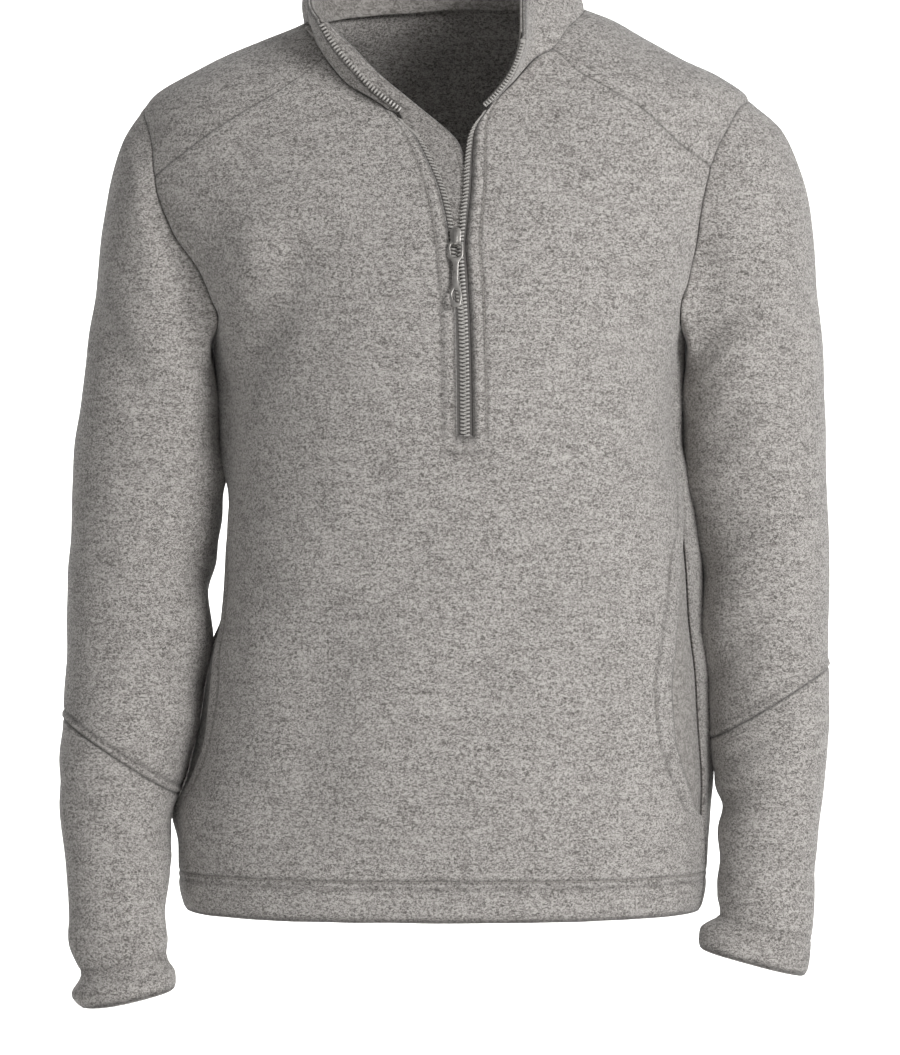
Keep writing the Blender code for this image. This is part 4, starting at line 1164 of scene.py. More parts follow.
@dataclass(frozen=True)
class ClothSize:
    """Walls and grid fineness of the cloth pieces."""

    wall: float = 2.0 * MM
    hem_wall: float = 3.2 * MM
    columns: int = 6
    rows: int = 9
    around: int = 6


@dataclass
class ClothPart:
    """A part that is sewn along the cut, with the cloth and thread it takes."""

    cut: Cut
    size: ClothSize
    fleece: Material
    thread: Material

    def walls(self, rows: Array) -> Array:
        """Reads how thick the cloth is at a panel's grid rows, with its turned hem."""
        turned = np.clip((rows - 0.9) / 0.2, 0, 1)[:, None, None]
        return self.size.hem_wall * (1 - turned) + self.size.wall * turned


class FrontPanel(ClothPart):
    """The front, slit for the zip, with hemmed pocket mouths."""

    def half(self, side: Side) -> tuple[Array, ...]:
        """Works out one half of the outer face.

        Args:
            side: which half.
        Returns:
            Points, normals, the painted shade there (partly compressed nap), and the row
            positions.
        """
        body = self.cut.body
        rows = positions(Cut.FRONT_TOP, self.size.rows)
        columns = np.concatenate([positions(9, self.size.columns, True, False),
                                  9 + np.linspace(0, 1, 14)[1:-1], [9.96, 10.0]])
        place = self.cut.front(rows[:, None], columns[None, :], side)
        points, normals = body.face(place)
        mouth = np.clip((rows - 2.6) / 0.8, 0, 1) * np.clip((12.4 - rows) / 0.8, 0, 1)
        slit = np.clip((rows - Cut.SLIT + 0.3) / 0.3, 0, 1)
        nap_and_shade = np.zeros(points.shape[:2])
        dress_edge(points, normals, nap_and_shade, Edge.BOTTOM, HEM_EDGE)
        dress_edge(points, normals, nap_and_shade, Edge.TOP, FLAT_SEAM)
        dress_edge(points, normals, nap_and_shade, Edge.FIRST, SEAM_EDGE, 1 - mouth)
        dress_edge(points, normals, nap_and_shade, Edge.FIRST, MOUTH_FOLD, mouth)
        dress_edge(points, normals, nap_and_shade, Edge.LAST, ZIP_FOLD, slit)
        # Sinks the cloth along the bottom stitching of the zip's box and darkens it there as
        # painted shade in the dip
        x, z = points[..., 0] / MM, points[..., 2] / MM
        foot = np.exp(-((z + 344) / 1.8) ** 2) / (1 + np.exp(np.abs(x - 10) - 14.5))
        points -= normals * (0.8 * MM * foot)[..., None]
        np.maximum(nap_and_shade, 0.6 * foot, out=nap_and_shade)
        return points, normals, nap_and_shade, rows

    def build(self) -> None:
        """Makes the panel and its stitching."""
        maker, outer, inner, quads, grids, start = MeshMaker(), [], [], [], {}, 0
        tones = []
        for side in Side:
            points, normals, nap_and_shade, rows = self.half(side)
            wall = self.walls(rows)
            grid = numbered(points, start)
            start += grid.size
            outer.append(points.reshape(-1, 3))
            inner.append((points - normals * wall).reshape(-1, 3))
            tones.append(nap_and_shade.reshape(-1))
            grids[side] = (grid, points, normals * wall, nap_and_shade)
            quads += grid_quads(grid if side is Side.RIGHT else grid[:, ::-1])
        low = np.nonzero(rows <= Cut.SLIT + 1e-9)[0]
        right, left = grids[Side.RIGHT], grids[Side.LEFT]
        share = np.linspace(0, 1, 6)[None, 1:-1, None]
        span = (right[1][low, -1][:, None] * (1 - share) + left[1][low, -1][:, None] * share)
        depth = (right[2][low, -1][:, None] * (1 - share) + left[2][low, -1][:, None] * share)
        middle = numbered(span, start)
        outer.append(span.reshape(-1, 3))
        inner.append((span - depth).reshape(-1, 3))
        tones.append(np.repeat(right[3][low, -1][:, None], span.shape[1], 1).reshape(-1))
        joined = np.concatenate([right[0][low, -1][:, None], middle,
                                 left[0][low, -1][:, None]], axis=1)
        quads += grid_quads(joined)
        maker.wall(np.concatenate(outer), np.concatenate(inner), quads, np.concatenate(tones))
        panel = maker.build("fleece_front", self.fleece)
        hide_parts("front_panel")
        self.stitch()

    def line(self, rows: Array, inset: float, side: Side, edge: Edge,
             ) -> tuple[Array, Array]:
        """Finds a line at a steady distance from a side edge.

        Args:
            rows: the rows it passes.
            inset: how far in, in millimetres.
            side: which half.
            edge: FIRST for the outer edge, LAST for the zip's.
        Returns:
            Points and normals.
        """
        body, ends = self.cut.body, ((0.0, 1.0) if edge is Edge.FIRST else (10.0, 9.0))
        at = [self.cut.front(rows, np.full_like(rows, c), side) for c in ends]
        ends_at = [body.surface(p[..., 0], p[..., 1]) for p in at]
        gap = np.linalg.norm(ends_at[1] - ends_at[0], axis=-1)
        columns = ends[0] + (ends[1] - ends[0]) * inset * MM / gap
        return body.face(self.cut.front(rows, columns, side))

    def stitch(self) -> None:
        """Sews the hem, the zip's box and the pocket mouths."""
        body, sewing = self.cut.body, Stitching()
        columns = np.linspace(0, 10, 90)
        for side in Side:
            for distance in HEM_EDGE.rows:
                rows = np.full_like(columns, distance / Cut.HEM_ROW)
                place = self.cut.front(rows, columns, side)
                sewing.row(*body.face(place), 0.7)
            rows = np.linspace(Cut.SLIT - Cut.BOX_ROWS, 20.9, 120)
            sewing.row(*self.line(rows, ZIP_FOLD.rows[0], side, Edge.LAST), 0.6)
            rows = np.linspace(3.0, 12.2, 110)
            sewing.row(*self.line(rows, MOUTH_FOLD.rows[0], side, Edge.FIRST), 0.7)
        low = np.array([Cut.SLIT - Cut.BOX_ROWS])
        ends = [self.line(low, ZIP_FOLD.rows[0], side, Edge.LAST) for side in Side]
        share = np.linspace(0, 1, 12)[:, None]
        box = ends[0][0] * (1 - share) + ends[1][0] * share
        sewing.row(box, ends[0][1] * (1 - share) + ends[1][1] * share, 0.2)
        sewing.build("stitching_front", self.thread)


class BackPanel(ClothPart):
    """The back, which comes over both shoulders."""

    def build(self) -> None:
        """Makes the panel and its stitching."""
        body, maker = self.cut.body, MeshMaker()
        rows = positions(Cut.BACK_TOP, self.size.rows, True, False)
        columns = positions(20, self.size.columns)
        place = self.cut.back(rows[:, None], columns[None, :])
        points, normals = body.face(place)
        nap_and_shade = np.zeros(points.shape[:2])
        dress_edge(points, normals, nap_and_shade, Edge.BOTTOM, HEM_EDGE)
        low = np.clip(Cut.BACK_TOP - 1 - rows, 0, 1)
        dress_edge(points, normals, nap_and_shade, Edge.FIRST, SEAM_EDGE, low)
        dress_edge(points, normals, nap_and_shade, Edge.LAST, SEAM_EDGE, low)
        tones = [nap_and_shade.reshape(-1)]
        wall = self.walls(rows)
        outer, inner = [points.reshape(-1, 3)], [(points - normals * wall).reshape(-1, 3)]
        index = numbered(points)
        quads, start = grid_quads(index), index.size
        for side in Side:
            ridge = index[-1] if side is Side.LEFT else index[-1, ::-1]
            along = columns if side is Side.LEFT else 20 - columns[::-1]
            across = along[along <= 6 + 1e-9]
            ridge = ridge[:len(across)]
            up = positions(4, self.size.rows, False, True)[1:]
            place = self.cut.yoke(up[:, None], across[None, :], side)
            points, normals = body.face(place)
            nap_and_shade = np.zeros(points.shape[:2])
            dress_edge(points, normals, nap_and_shade, Edge.TOP, FLAT_SEAM)
            dress_edge(points, normals, nap_and_shade, Edge.FIRST, FLAT_SEAM,
                       np.clip(up - 0.5, 0, 1))
            tones.append(nap_and_shade.reshape(-1))
            grid = numbered(points, start)
            start += grid.size
            outer.append(points.reshape(-1, 3))
            inner.append((points - normals * self.size.wall).reshape(-1, 3))
            grid = np.concatenate([ridge[None], grid])
            quads += grid_quads(grid if side is Side.LEFT else grid[:, ::-1])
        maker.wall(np.concatenate(outer), np.concatenate(inner), quads, np.concatenate(tones))
        panel = maker.build("fleece_back", self.fleece)
        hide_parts("back_panel")
        sewing = Stitching()
        across = np.linspace(0, 20, 200)
        for distance in HEM_EDGE.rows:
            place = self.cut.back(np.full_like(across, distance / Cut.HEM_ROW), across)
            sewing.row(*body.face(place), 0.7)
        sewing.build("stitching_back", self.thread)


@dataclass
class Sleeve(ClothPart):
    """One sleeve: rings between an outer and an inner arm line, in two pieces."""

    side: Side
    RINGS = {
        Side.RIGHT: (
            (-233, -74, -171, -251, 2, 62), (-251, -101, -177, -266, 4, 65),
            (-261, -132, -178, -283, 6, 66), (-269, -175, -178, -304, 8, 66),
            (-276, -232, -177, -328, 10, 65), (-283, -286, -175, -354, 12, 63),
            (-290, -340, -175, -385, 12, 61), (-292, -383, -179, -421, 10, 60),
            (-293, -419, -183, -461, 6, 59), (-295, -460, -188, -504, 0, 57),
            (-296, -502, -194, -551, -8, 55), (-296, -546, -208, -604, -15, 52),
            (-298, -569, -212, -618, -21, 49), (-299, -594, -213, -632, -27, 46),
            (-296, -624, -213, -646, -34, 42), (-293, -654, -213, -664, -41, 38),
            (-291, -686, -216, -689, -48, 34), (-289, -714, -214, -708, -54, 31),
            (-280, -738, -213, -725, -58, 28), (-286, -752, -207, -736, -61, 30),
            (-279, -763, -206, -747, -63, 30)),
        Side.LEFT: (
            (227, -71, 172, -251, 2, 62), (254, -94, 177, -266, 4, 65),
            (268, -121, 178, -283, 6, 66), (279, -161, 178, -304, 8, 66),
            (284, -215, 179, -329, 10, 65), (289, -267, 181, -356, 12, 63),
            (290, -317, 186, -388, 12, 61), (290, -363, 189, -425, 10, 60),
            (291, -414, 193, -467, 6, 58), (293, -460, 197, -511, 0, 56),
            (292, -506, 199, -562, -8, 53), (291, -534, 201, -583, -15, 50),
            (289, -564, 203, -601, -22, 47), (285, -599, 206, -622, -29, 44),
            (280, -636, 206, -650, -36, 40), (278, -668, 203, -672, -43, 36),
            (274, -705, 204, -691, -50, 31), (272, -718, 190, -704, -53, 32),
            (269, -738, 188, -717, -55, 31)),
    }
    KNOT = {Side.RIGHT: 11.0, Side.LEFT: 10.0}
    CUFF = {Side.RIGHT: 18.0, Side.LEFT: 16.0}
    CAP = 3.0
    AROUND = 19
    FOLD_SCALE = 1.35
    FOLDS = {
        # ring, angle, slope, spread, width, rise
        Side.RIGHT: (
            (4.2, 60, 0.8, 70, 0.5, -3.0), (5.2, 150, -0.5, 60, 0.5, 4.0),
            (7.6, 170, 0.6, 75, 0.45, -4.0), (8.6, 165, 0.5, 70, 0.45, 3.5),
            (9.5, 60, -0.5, 65, 0.5, -3.0), (13.2, 40, 0.5, 60, 0.5, -2.5),
            (15.6, 80, -0.4, 90, 0.45, -2.0), (8.0, -60, 0.4, 70, 0.5, 3.0),
            (2.6, 120, -1.0, 45, 0.22, -1.6), (3.3, 130, -0.9, 50, 0.22, 1.5),
            (6.4, 100, 0.7, 45, 0.25, -1.2), (9.0, 120, 0.6, 50, 0.2, -1.4),
            (9.9, 140, 0.4, 50, 0.2, 1.4), (12.2, 110, 0.3, 60, 0.3, -1.4),
            (14.4, 120, -0.3, 60, 0.3, 1.3), (16.6, 60, 0.3, 70, 0.25, -1.3),
            (17.3, 120, -0.2, 70, 0.25, 1.2), (7.0, -120, 0.4, 60, 0.3, -2.0),
            (9.2, -110, -0.5, 60, 0.3, 2.0), (3.0, -110, 0.8, 60, 0.3, -1.6)),
        Side.LEFT: (
            (4.4, 70, 0.8, 70, 0.5, -3.0), (5.4, 150, -0.5, 60, 0.5, 4.0),
            (7.2, 165, 0.6, 75, 0.45, -4.0), (8.3, 160, 0.5, 70, 0.45, 3.5),
            (9.0, 50, -0.5, 65, 0.5, -2.5), (12.4, 150, 0.5, 60, 0.45, -3.5),
            (13.6, 120, -0.4, 80, 0.45, 2.5), (7.6, -60, 0.4, 70, 0.5, 3.0),
            (2.4, 120, -1.0, 45, 0.22, -1.6), (3.1, 130, -0.9, 50, 0.22, 1.5),
            (6.0, 100, 0.7, 45, 0.25, -1.2), (8.8, 120, 0.6, 50, 0.2, -1.4),
            (11.0, 130, 0.4, 50, 0.25, -1.8), (11.7, 60, 0.3, 60, 0.3, 1.2),
            (14.6, 60, -0.3, 60, 0.3, -1.2), (15.3, 120, 0.2, 70, 0.25, 1.3),
            (6.8, -120, 0.4, 60, 0.3, -2.0), (8.9, -110, -0.5, 60, 0.3, 2.0),
            (3.0, -110, 0.8, 60, 0.3, -1.6)),
    }

    def __post_init__(self) -> None:
        """Numbers the rings, so that places between them can be read."""
        rings = np.array(self.RINGS[self.side], float)
        self.table = np.column_stack([np.arange(len(rings)), rings * MM])
        self.last = len(rings) - 1

    def surface(self, at: Array, around: Array) -> Array:
        """Reads the sleeve's outer face.

        Args:
            at: ring positions down the arm.
            around: places round it from the underarm up the front, 0 to 19.
        Returns:
            Points.
        """
        at, around = spread(at, around)
        turn = np.where(around <= 10, np.pi * (1 - around / 10), -np.pi * (around - 10) / 9)

        def ring(where: Array) -> tuple[Array, Array]:
            ox, oz, ix, iz, y, depth = (smooth(self.table, where, i) for i in range(1, 7))
            centre = np.stack([(ox + ix) / 2, y, (oz + iz) / 2], axis=-1)
            out = np.stack([(ox - ix) / 2, 0 * y, (oz - iz) / 2], axis=-1)
            fore = np.stack([0 * y, -depth, 0 * y], axis=-1)
            return centre, (centre + out * np.cos(turn)[..., None]
                            + fore * np.sin(turn)[..., None])

        centre, points = ring(at)
        rise = np.zeros_like(at)
        for fold in (SleeveFold(*row) for row in self.FOLDS[self.side]):
            away = (np.degrees(turn) - fold.angle + 180) % 360 - 180
            across = at - fold.ring - fold.slope * away / 90
            rise += fold.rise * MM * np.exp(-(across / fold.width) ** 2
                                            - (away / fold.spread) ** 2)
        fade = np.clip(at / self.CAP, 0, 1)
        blend = ((1 - fade) ** 2 * (1 + 2 * fade))[..., None]
        rise = Ripples.rise(points) + rise * self.FOLD_SCALE
        points = points + unit(points - centre) * rise[..., None] * (1 - blend)
        place = self.cut.armhole(around, self.side)
        hole = self.cut.body.surface(place[..., 0], place[..., 1])
        return points + blend * (hole - ring(np.zeros_like(at))[1])

    def normal(self, at: Array, around: Array) -> Array:
        """Reads the sleeve's outward directions.

        Args:
            at: ring positions down the arm.
            around: places round it.
        Returns:
            Directions.
        """
        at, around = spread(at, around)
        up, down = np.maximum(at - 0.04, 0), np.minimum(at + 0.04, self.last)
        ahead, behind = (around + 0.06) % self.AROUND, (around - 0.06) % self.AROUND
        found = unit(np.cross(self.surface(at, ahead) - self.surface(at, behind),
                              self.surface(down, around) - self.surface(up, around)))
        return found * self.outwards()

    def outwards(self) -> float:
        """Tells which sign turns a cross product of the sleeve's directions outwards."""
        around = np.arange(self.AROUND, dtype=float)
        middle = np.full_like(around, 8.0)
        points = self.surface(middle, around)
        along = self.surface(middle + 0.1, around) - points
        found = np.cross(np.roll(points, -1, axis=0) - np.roll(points, 1, axis=0), along)
        return float(np.sign(((points - points.mean(axis=0)) * found).sum()))

    def build(self) -> None:
        """Makes the two pieces and the cuff's stitching."""
        name, knot, cuff = self.side.value, self.KNOT[self.side], self.CUFF[self.side]
        around = np.arange(self.AROUND * self.size.around) / self.size.around
        near = np.array([0.03, 0.07, 0.13])
        upper = np.concatenate([[0], near, np.linspace(0.2, knot - 0.2, 150),
                                knot - near[::-1], [knot]])
        lower = np.concatenate([
            [knot], knot + near, np.linspace(knot + 0.2, self.last - 0.1, 84),
            [self.last - 0.05, self.last]])
        parts = (("upper_sleeve", upper, SEAM_EDGE, CORDED_SEAM, (0.46, 0.50), 0.155),
                 ("forearm_sleeve", lower, FLAT_SEAM, CUFF_EDGE, (0.30, 0.25), 0.051))
        for part, at, first, second, flat, area in parts:
            points = self.surface(at[:, None], around[None, :])
            normals = self.normal(at[:, None], around[None, :])
            nap_and_shade = np.zeros(points.shape[:2])
            dress_edge(points, normals, nap_and_shade, Edge.BOTTOM, first)
            dress_edge(points, normals, nap_and_shade, Edge.TOP, second)
            turned = np.clip((at - cuff) / 0.3, 0, 1)[:, None, None]
            wall = self.size.wall + (self.size.hem_wall - self.size.wall) * turned
            maker = MeshMaker()
            maker.wall(points, points - normals * wall,
                       grid_quads(numbered(points), closed=True), nap_and_shade)
            piece = maker.build(f"fleece_{name}_{part}", self.fleece)
            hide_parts(f"{name}_{part}")
        sewing = Stitching()
        ring = np.append(np.linspace(0, self.AROUND, 120, endpoint=False), 0)
        end = self.surface(np.full_like(ring, self.last), ring)
        near_end = self.surface(np.full_like(ring, self.last - 1), ring)
        step = np.linalg.norm(end - near_end, axis=-1) / MM
        at = self.last - CUFF_EDGE.rows[0] / np.maximum(step, 5)
        sewing.row(self.surface(at, ring), self.normal(at, ring), 0.7)
        sewing.build(f"stitching_{name}_cuff", self.thread)


@dataclass
class Collar(ClothPart):
    """The stand-up collar, open at the front."""

    inside: Material
    TOP = ((0.0, -98, -108, -27), (0.12, -108, -74, -4), (0.24, -107, -34, 22),
           (0.36, -92, 18, 50), (0.45, -50, 62, 72), (0.5, -4, 74, 79), (0.56, 44, 66, 80),
           (0.66, 77, 24, 70), (0.76, 73, -24, 50), (0.88, 57, -82, 8), (1.0, 56, -142, -40))
    SWELL, WALL = 5 * MM, 2.0 * MM
    INNER_DEPTH, INNER_WALL = 3.1 * MM, 1.9 * MM
    FACING_START, TURN_IN = 9 * MM, 6 * MM
    EDGE = EdgeStyle(roll=0.8, roll_width=1.6, puff=0.4, puff_at=4, puff_width=3,
                     rows=(7.0,), row_depth=0.5)

    def surface(self, up: Array, at: Array) -> tuple[Array, Array]:
        """Reads the collar's outer face on a whole grid.

        Args:
            up: shares from the neck seam to the top edge, one a row.
            at: places along the neck seam from 0 to 24, one a column.
        Returns:
            Points and outward directions.
        """
        body, place = self.cut.body, self.cut.neck(at)
        base, normals = body.face(place)
        along = unit(np.gradient(base, axis=0))
        into = unit(np.cross(along, normals))
        into *= np.sign(((np.array([0, -20 * MM, 0]) - base) * into).sum(axis=1))[:, None]
        base = base + into * 0.15 * MM + normals * 0.3 * MM
        top = np.stack([smooth(self.TOP, at / Cut.NECK_COUNT, i) * MM for i in (1, 2, 3)], -1)
        rise = up[:, None, None]
        straight = base[None] * (1 - rise) + top[None] * rise

        def across(grid: Array) -> Array:
            return unit(np.cross(np.gradient(grid, up, axis=0),
                                 np.gradient(grid, at, axis=1)))

        points = straight + across(straight) * self.SWELL * 4 * rise * (1 - rise)
        points += across(points) * (Ripples.rise(points) * 4 * up[:, None]
                                    * (1.2 - up[:, None]) / 1.4)[..., None]
        return points, across(points)

    def inset(self, edge: Array, inside: Array) -> Array:
        """Draws a front edge of the inner collar back, so that the zip's tape shows.

        Args:
            edge: the edge's points.
            inside: the columns of points next to it, in order.
        Returns:
            Points FACING_START further in.
        """
        steps = np.linalg.norm(inside - edge[:, None], axis=-1)
        return np.stack([[np.interp(self.FACING_START, steps[j, :30], inside[j, :30, i])
                          for i in range(3)] for j in range(len(edge))])

    def build(self) -> None:
        """Makes the outer and the inner collar and the stitching."""
        at = positions(Cut.NECK_COUNT, self.size.around + 1)
        up = positions(4, 8) / 4
        points, normals = self.surface(up, at)
        outer, inner = points.copy(), points - normals * self.INNER_DEPTH
        nap_and_shade = np.zeros(points.shape[:2])
        dress_edge(outer, normals, nap_and_shade, Edge.BOTTOM, SEAM_EDGE)
        dress_edge(outer, normals, nap_and_shade, Edge.TOP, self.EDGE)
        dress_edge(outer, normals, nap_and_shade, Edge.FIRST, ZIP_FOLD)
        dress_edge(outer, normals, nap_and_shade, Edge.LAST, ZIP_FOLD)
        inner[:, 0] = self.inset(inner[:, 0], inner[:, 1:])
        inner[:, -1] = self.inset(inner[:, -1], inner[:, -2::-1])
        for column in range(1, 12):
            share = column / 12
            inner[:, column] = inner[:, 0] * (1 - share) + inner[:, 12] * share
            inner[:, -1 - column] = inner[:, -1] * (1 - share) + inner[:, -13] * share
        inner[0] -= unit(inner[1] - inner[0]) * self.TURN_IN
        parts = (("fleece_collar_outer", outer, self.WALL, self.fleece, "collar_outer",
                  "fleece"),
                 ("fleece_collar_inner", inner, self.INNER_WALL, self.inside, "collar_inner",
                  "inner_fleece"))
        for name, grid, wall, finish, node, slot in parts:
            maker = MeshMaker()
            maker.wall(grid, grid - normals * wall, grid_quads(numbered(grid)),
                       nap_and_shade if grid is outer else None)
            piece = maker.build(name, finish)
            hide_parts(node)
        sewing = Stitching()
        height = np.linalg.norm(points[-1] - points[0], axis=-1)
        share = 1 - self.EDGE.rows[0] * MM / height
        row = np.stack([[np.interp(s, up, points[:, j, i]) for i in range(3)]
                        for j, s in enumerate(share)])
        sewing.row(row, normals[-2], 0.5)
        width = np.linalg.norm(points[:, 7] - points[:, 0], axis=-1).mean()
        inset = int(round(7 * ZIP_FOLD.rows[0] * MM / width))
        for column in (inset, -inset - 1):
            sewing.row(points[:, column], normals[:, column], 0.5)
        sewing.build("stitching_collar", self.thread)


@dataclass
class PocketBag:
    """A pocket bag behind the front, seen in its mouth."""

    side: Side
    cut: Cut
    lining: Material
    DEPTH, WALL = 3.6 * MM, 1.2 * MM
    TOP = (-408, -470)

    def build(self) -> None:
        """Makes the bag."""
        body, maker = self.cut.body, MeshMaker()
        share = np.linspace(0, 1, 41)
        low = self.cut.front(np.ones(1), np.full(1, 8.0), self.side)[0, 0]
        high = self.cut.front(np.full(1, 10.0), np.full(1, 8.0), self.side)[0, 0]
        up = np.linspace(0, 1, 61)[:, None]
        top = (self.TOP[0] * (1 - share) + self.TOP[1] * share) * MM
        height = -664 * MM * (1 - up) + top[None, :] * up
        seam = np.radians(smooth(Cut.SIDE_SEAMS, height / MM,
                                 1 if self.side is Side.RIGHT else 2))
        inner = low * (1 - up) + high * up
        angle = seam * (1 - share[None, :]) + inner * share[None, :]
        points, normals = body.surface(angle, height), body.normal(angle, height)
        maker.wall(points - normals * self.DEPTH, points - normals * (self.DEPTH + self.WALL),
                   grid_quads(numbered(points)))
        piece = maker.build(f"lining_{self.side.value}_pocket", self.lining)
        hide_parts(f"{self.side.value}_pocket_bag")


# --- the zip


@dataclass(frozen=True)
class ZipSize:
    """A moulded-tooth zip with a 2.8 mm pitch."""

    tape_depth: float = 3.0 * MM
    tape_wall: float = 0.8 * MM
    under: float = 8.5 * MM
    pitch: float = 2.8 * MM
    tooth_half: float = 0.9 * MM
    tooth_reach: float = 3.0 * MM
    tooth_rise: float = 1.9 * MM


@dataclass
class Zip:
    """Tapes and teeth on the body and on the collar's front edges."""

    cut: Cut
    collar: Collar
    size: ZipSize
    tape: Material
    teeth: Material
    REACH = ((-345, 6.2, 6.2), (-250, 6.0, 6.0), (-200, 3.6, 6.2), (-178, 4.4, 5.6),
             (-162, 4.6, 6.2), (-112, 4.6, 6.0), (-98, 4.6, 5.4), (-80, 4.4, 5.0))
    COLLAR_REACH = 4.4 * MM

    def body_edge(self, side: Side) -> tuple[Array, Array, Array]:
        """Follows the cloth's edge up the body.

        Args:
            side: which half.
        Returns:
            Points, outward directions and directions across the opening.
        """
        rows = np.concatenate([[Cut.SLIT - 8 / 27], np.linspace(Cut.SLIT, 20.97, 100)])
        body = self.cut.body
        place = self.cut.front(rows, np.full_like(rows, 10.0), side)
        inside = self.cut.front(rows, np.full_like(rows, 9.6), side)
        points, normals = body.face(place)
        across = points - body.surface(inside[..., 0], inside[..., 1])
        return points, normals, unit(across)

    def strip(self, name: str, points: Array, normals: Array, across: Array,
              reach: Array, depth: float) -> None:
        """Makes a stretch of tape with its teeth.

        Args:
            name: the stretch's name.
            points: the cloth's edge.
            normals: outward directions.
            across: directions past the edge.
            reach: how far the tape goes past the edge, in metres.
            depth: how deep it lies behind the cloth's face.
        """
        maker = MeshMaker()
        share = np.linspace(0, 1, 8)[None, :, None]
        start = points - across * self.size.under
        end = points + across * reach[:, None]
        sheet = start[:, None] * (1 - share) + end[:, None] * share
        out = normals[:, None]
        maker.wall(sheet - out * depth, sheet - out * (depth + self.size.tape_wall),
                   grid_quads(numbered(sheet)))
        piece = maker.build(f"tape_{name}", self.tape)
        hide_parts(f"zip_tape_{name}")
        self.chain(name, end, normals, across, depth + self.size.tape_wall / 2)

    def chain(self, name: str, line: Array, normals: Array, across: Array,
              depth: float) -> None:
        """Sets teeth along a tape's free edge.

        Args:
            name: the stretch's name.
            line: the tape's free edge.
            normals: outward directions.
            across: directions past the edge.
            depth: how deep the teeth's middle lies.
        """
        lengths = distances(line)
        offset = 0.0 if "right" in name else 0.5
        places = np.arange(offset, lengths[-1] / self.size.pitch) * self.size.pitch

        def read(values: Array) -> Array:
            return np.stack([np.interp(places, lengths, values[:, i]) for i in range(3)], -1)

        middle, out, over = read(line), unit(read(normals)), unit(read(across))
        up = unit(np.cross(out, over))
        over = np.cross(up, out)
        middle = middle - out * depth
        size = self.size
        # share past the edge, half-length along the chain, half-height out of the tape
        shape = ((-1.0, 0.55, 0.75), (-0.8, 0.95, 1.0), (0.0, 0.95, 1.0), (0.35, 0.55, 0.9),
                 (0.75, 0.8, 0.95), (1.0, 0.5, 0.7))
        corner = ((1, 0.6), (0.6, 1), (-0.6, 1), (-1, 0.6), (-1, -0.6), (-0.6, -1), (0.6, -1),
                  (1, -0.6))
        rings = []
        for past, half, height in shape:
            spot = middle + over * past * (size.tooth_reach if past < 0
                                           else 0.55 * size.tooth_reach)
            rings.append(np.stack([spot + up * a * half * size.tooth_half
                                   + out * b * height * size.tooth_rise
                                   for a, b in corner], axis=1))
        maker = MeshMaker()
        maker.tubes(rings)
        piece = maker.build(f"teeth_{name}", self.teeth)
        piece.data.set_sharp_from_angle(angle=0.7)

    def build(self) -> None:
        """Makes all four stretches."""
        for column, side in enumerate(Side, start=1):
            points, normals, across = self.body_edge(side)
            reach = smooth(self.REACH, points[:, 2] / MM, column) * MM
            self.strip(side.value, points, normals, across, reach, self.size.tape_depth)
            at = np.linspace(0, Cut.NECK_COUNT, 7 * Cut.NECK_COUNT + 1)
            up = np.linspace(0, 1, 30)
            grid, outwards = self.collar.surface(up, at)
            edge, inside = (0, 3) if side is Side.RIGHT else (-1, -4)
            points, normals = grid[:, edge], outwards[:, edge]
            across, along = unit(points - grid[:, inside]), unit(np.gradient(points, axis=0))
            across = unit(across - along * (across * along).sum(axis=1)[:, None])
            self.strip(f"collar_{side.value}", points, normals, across,
                       np.full(len(points), self.COLLAR_REACH), 2.3 * MM)


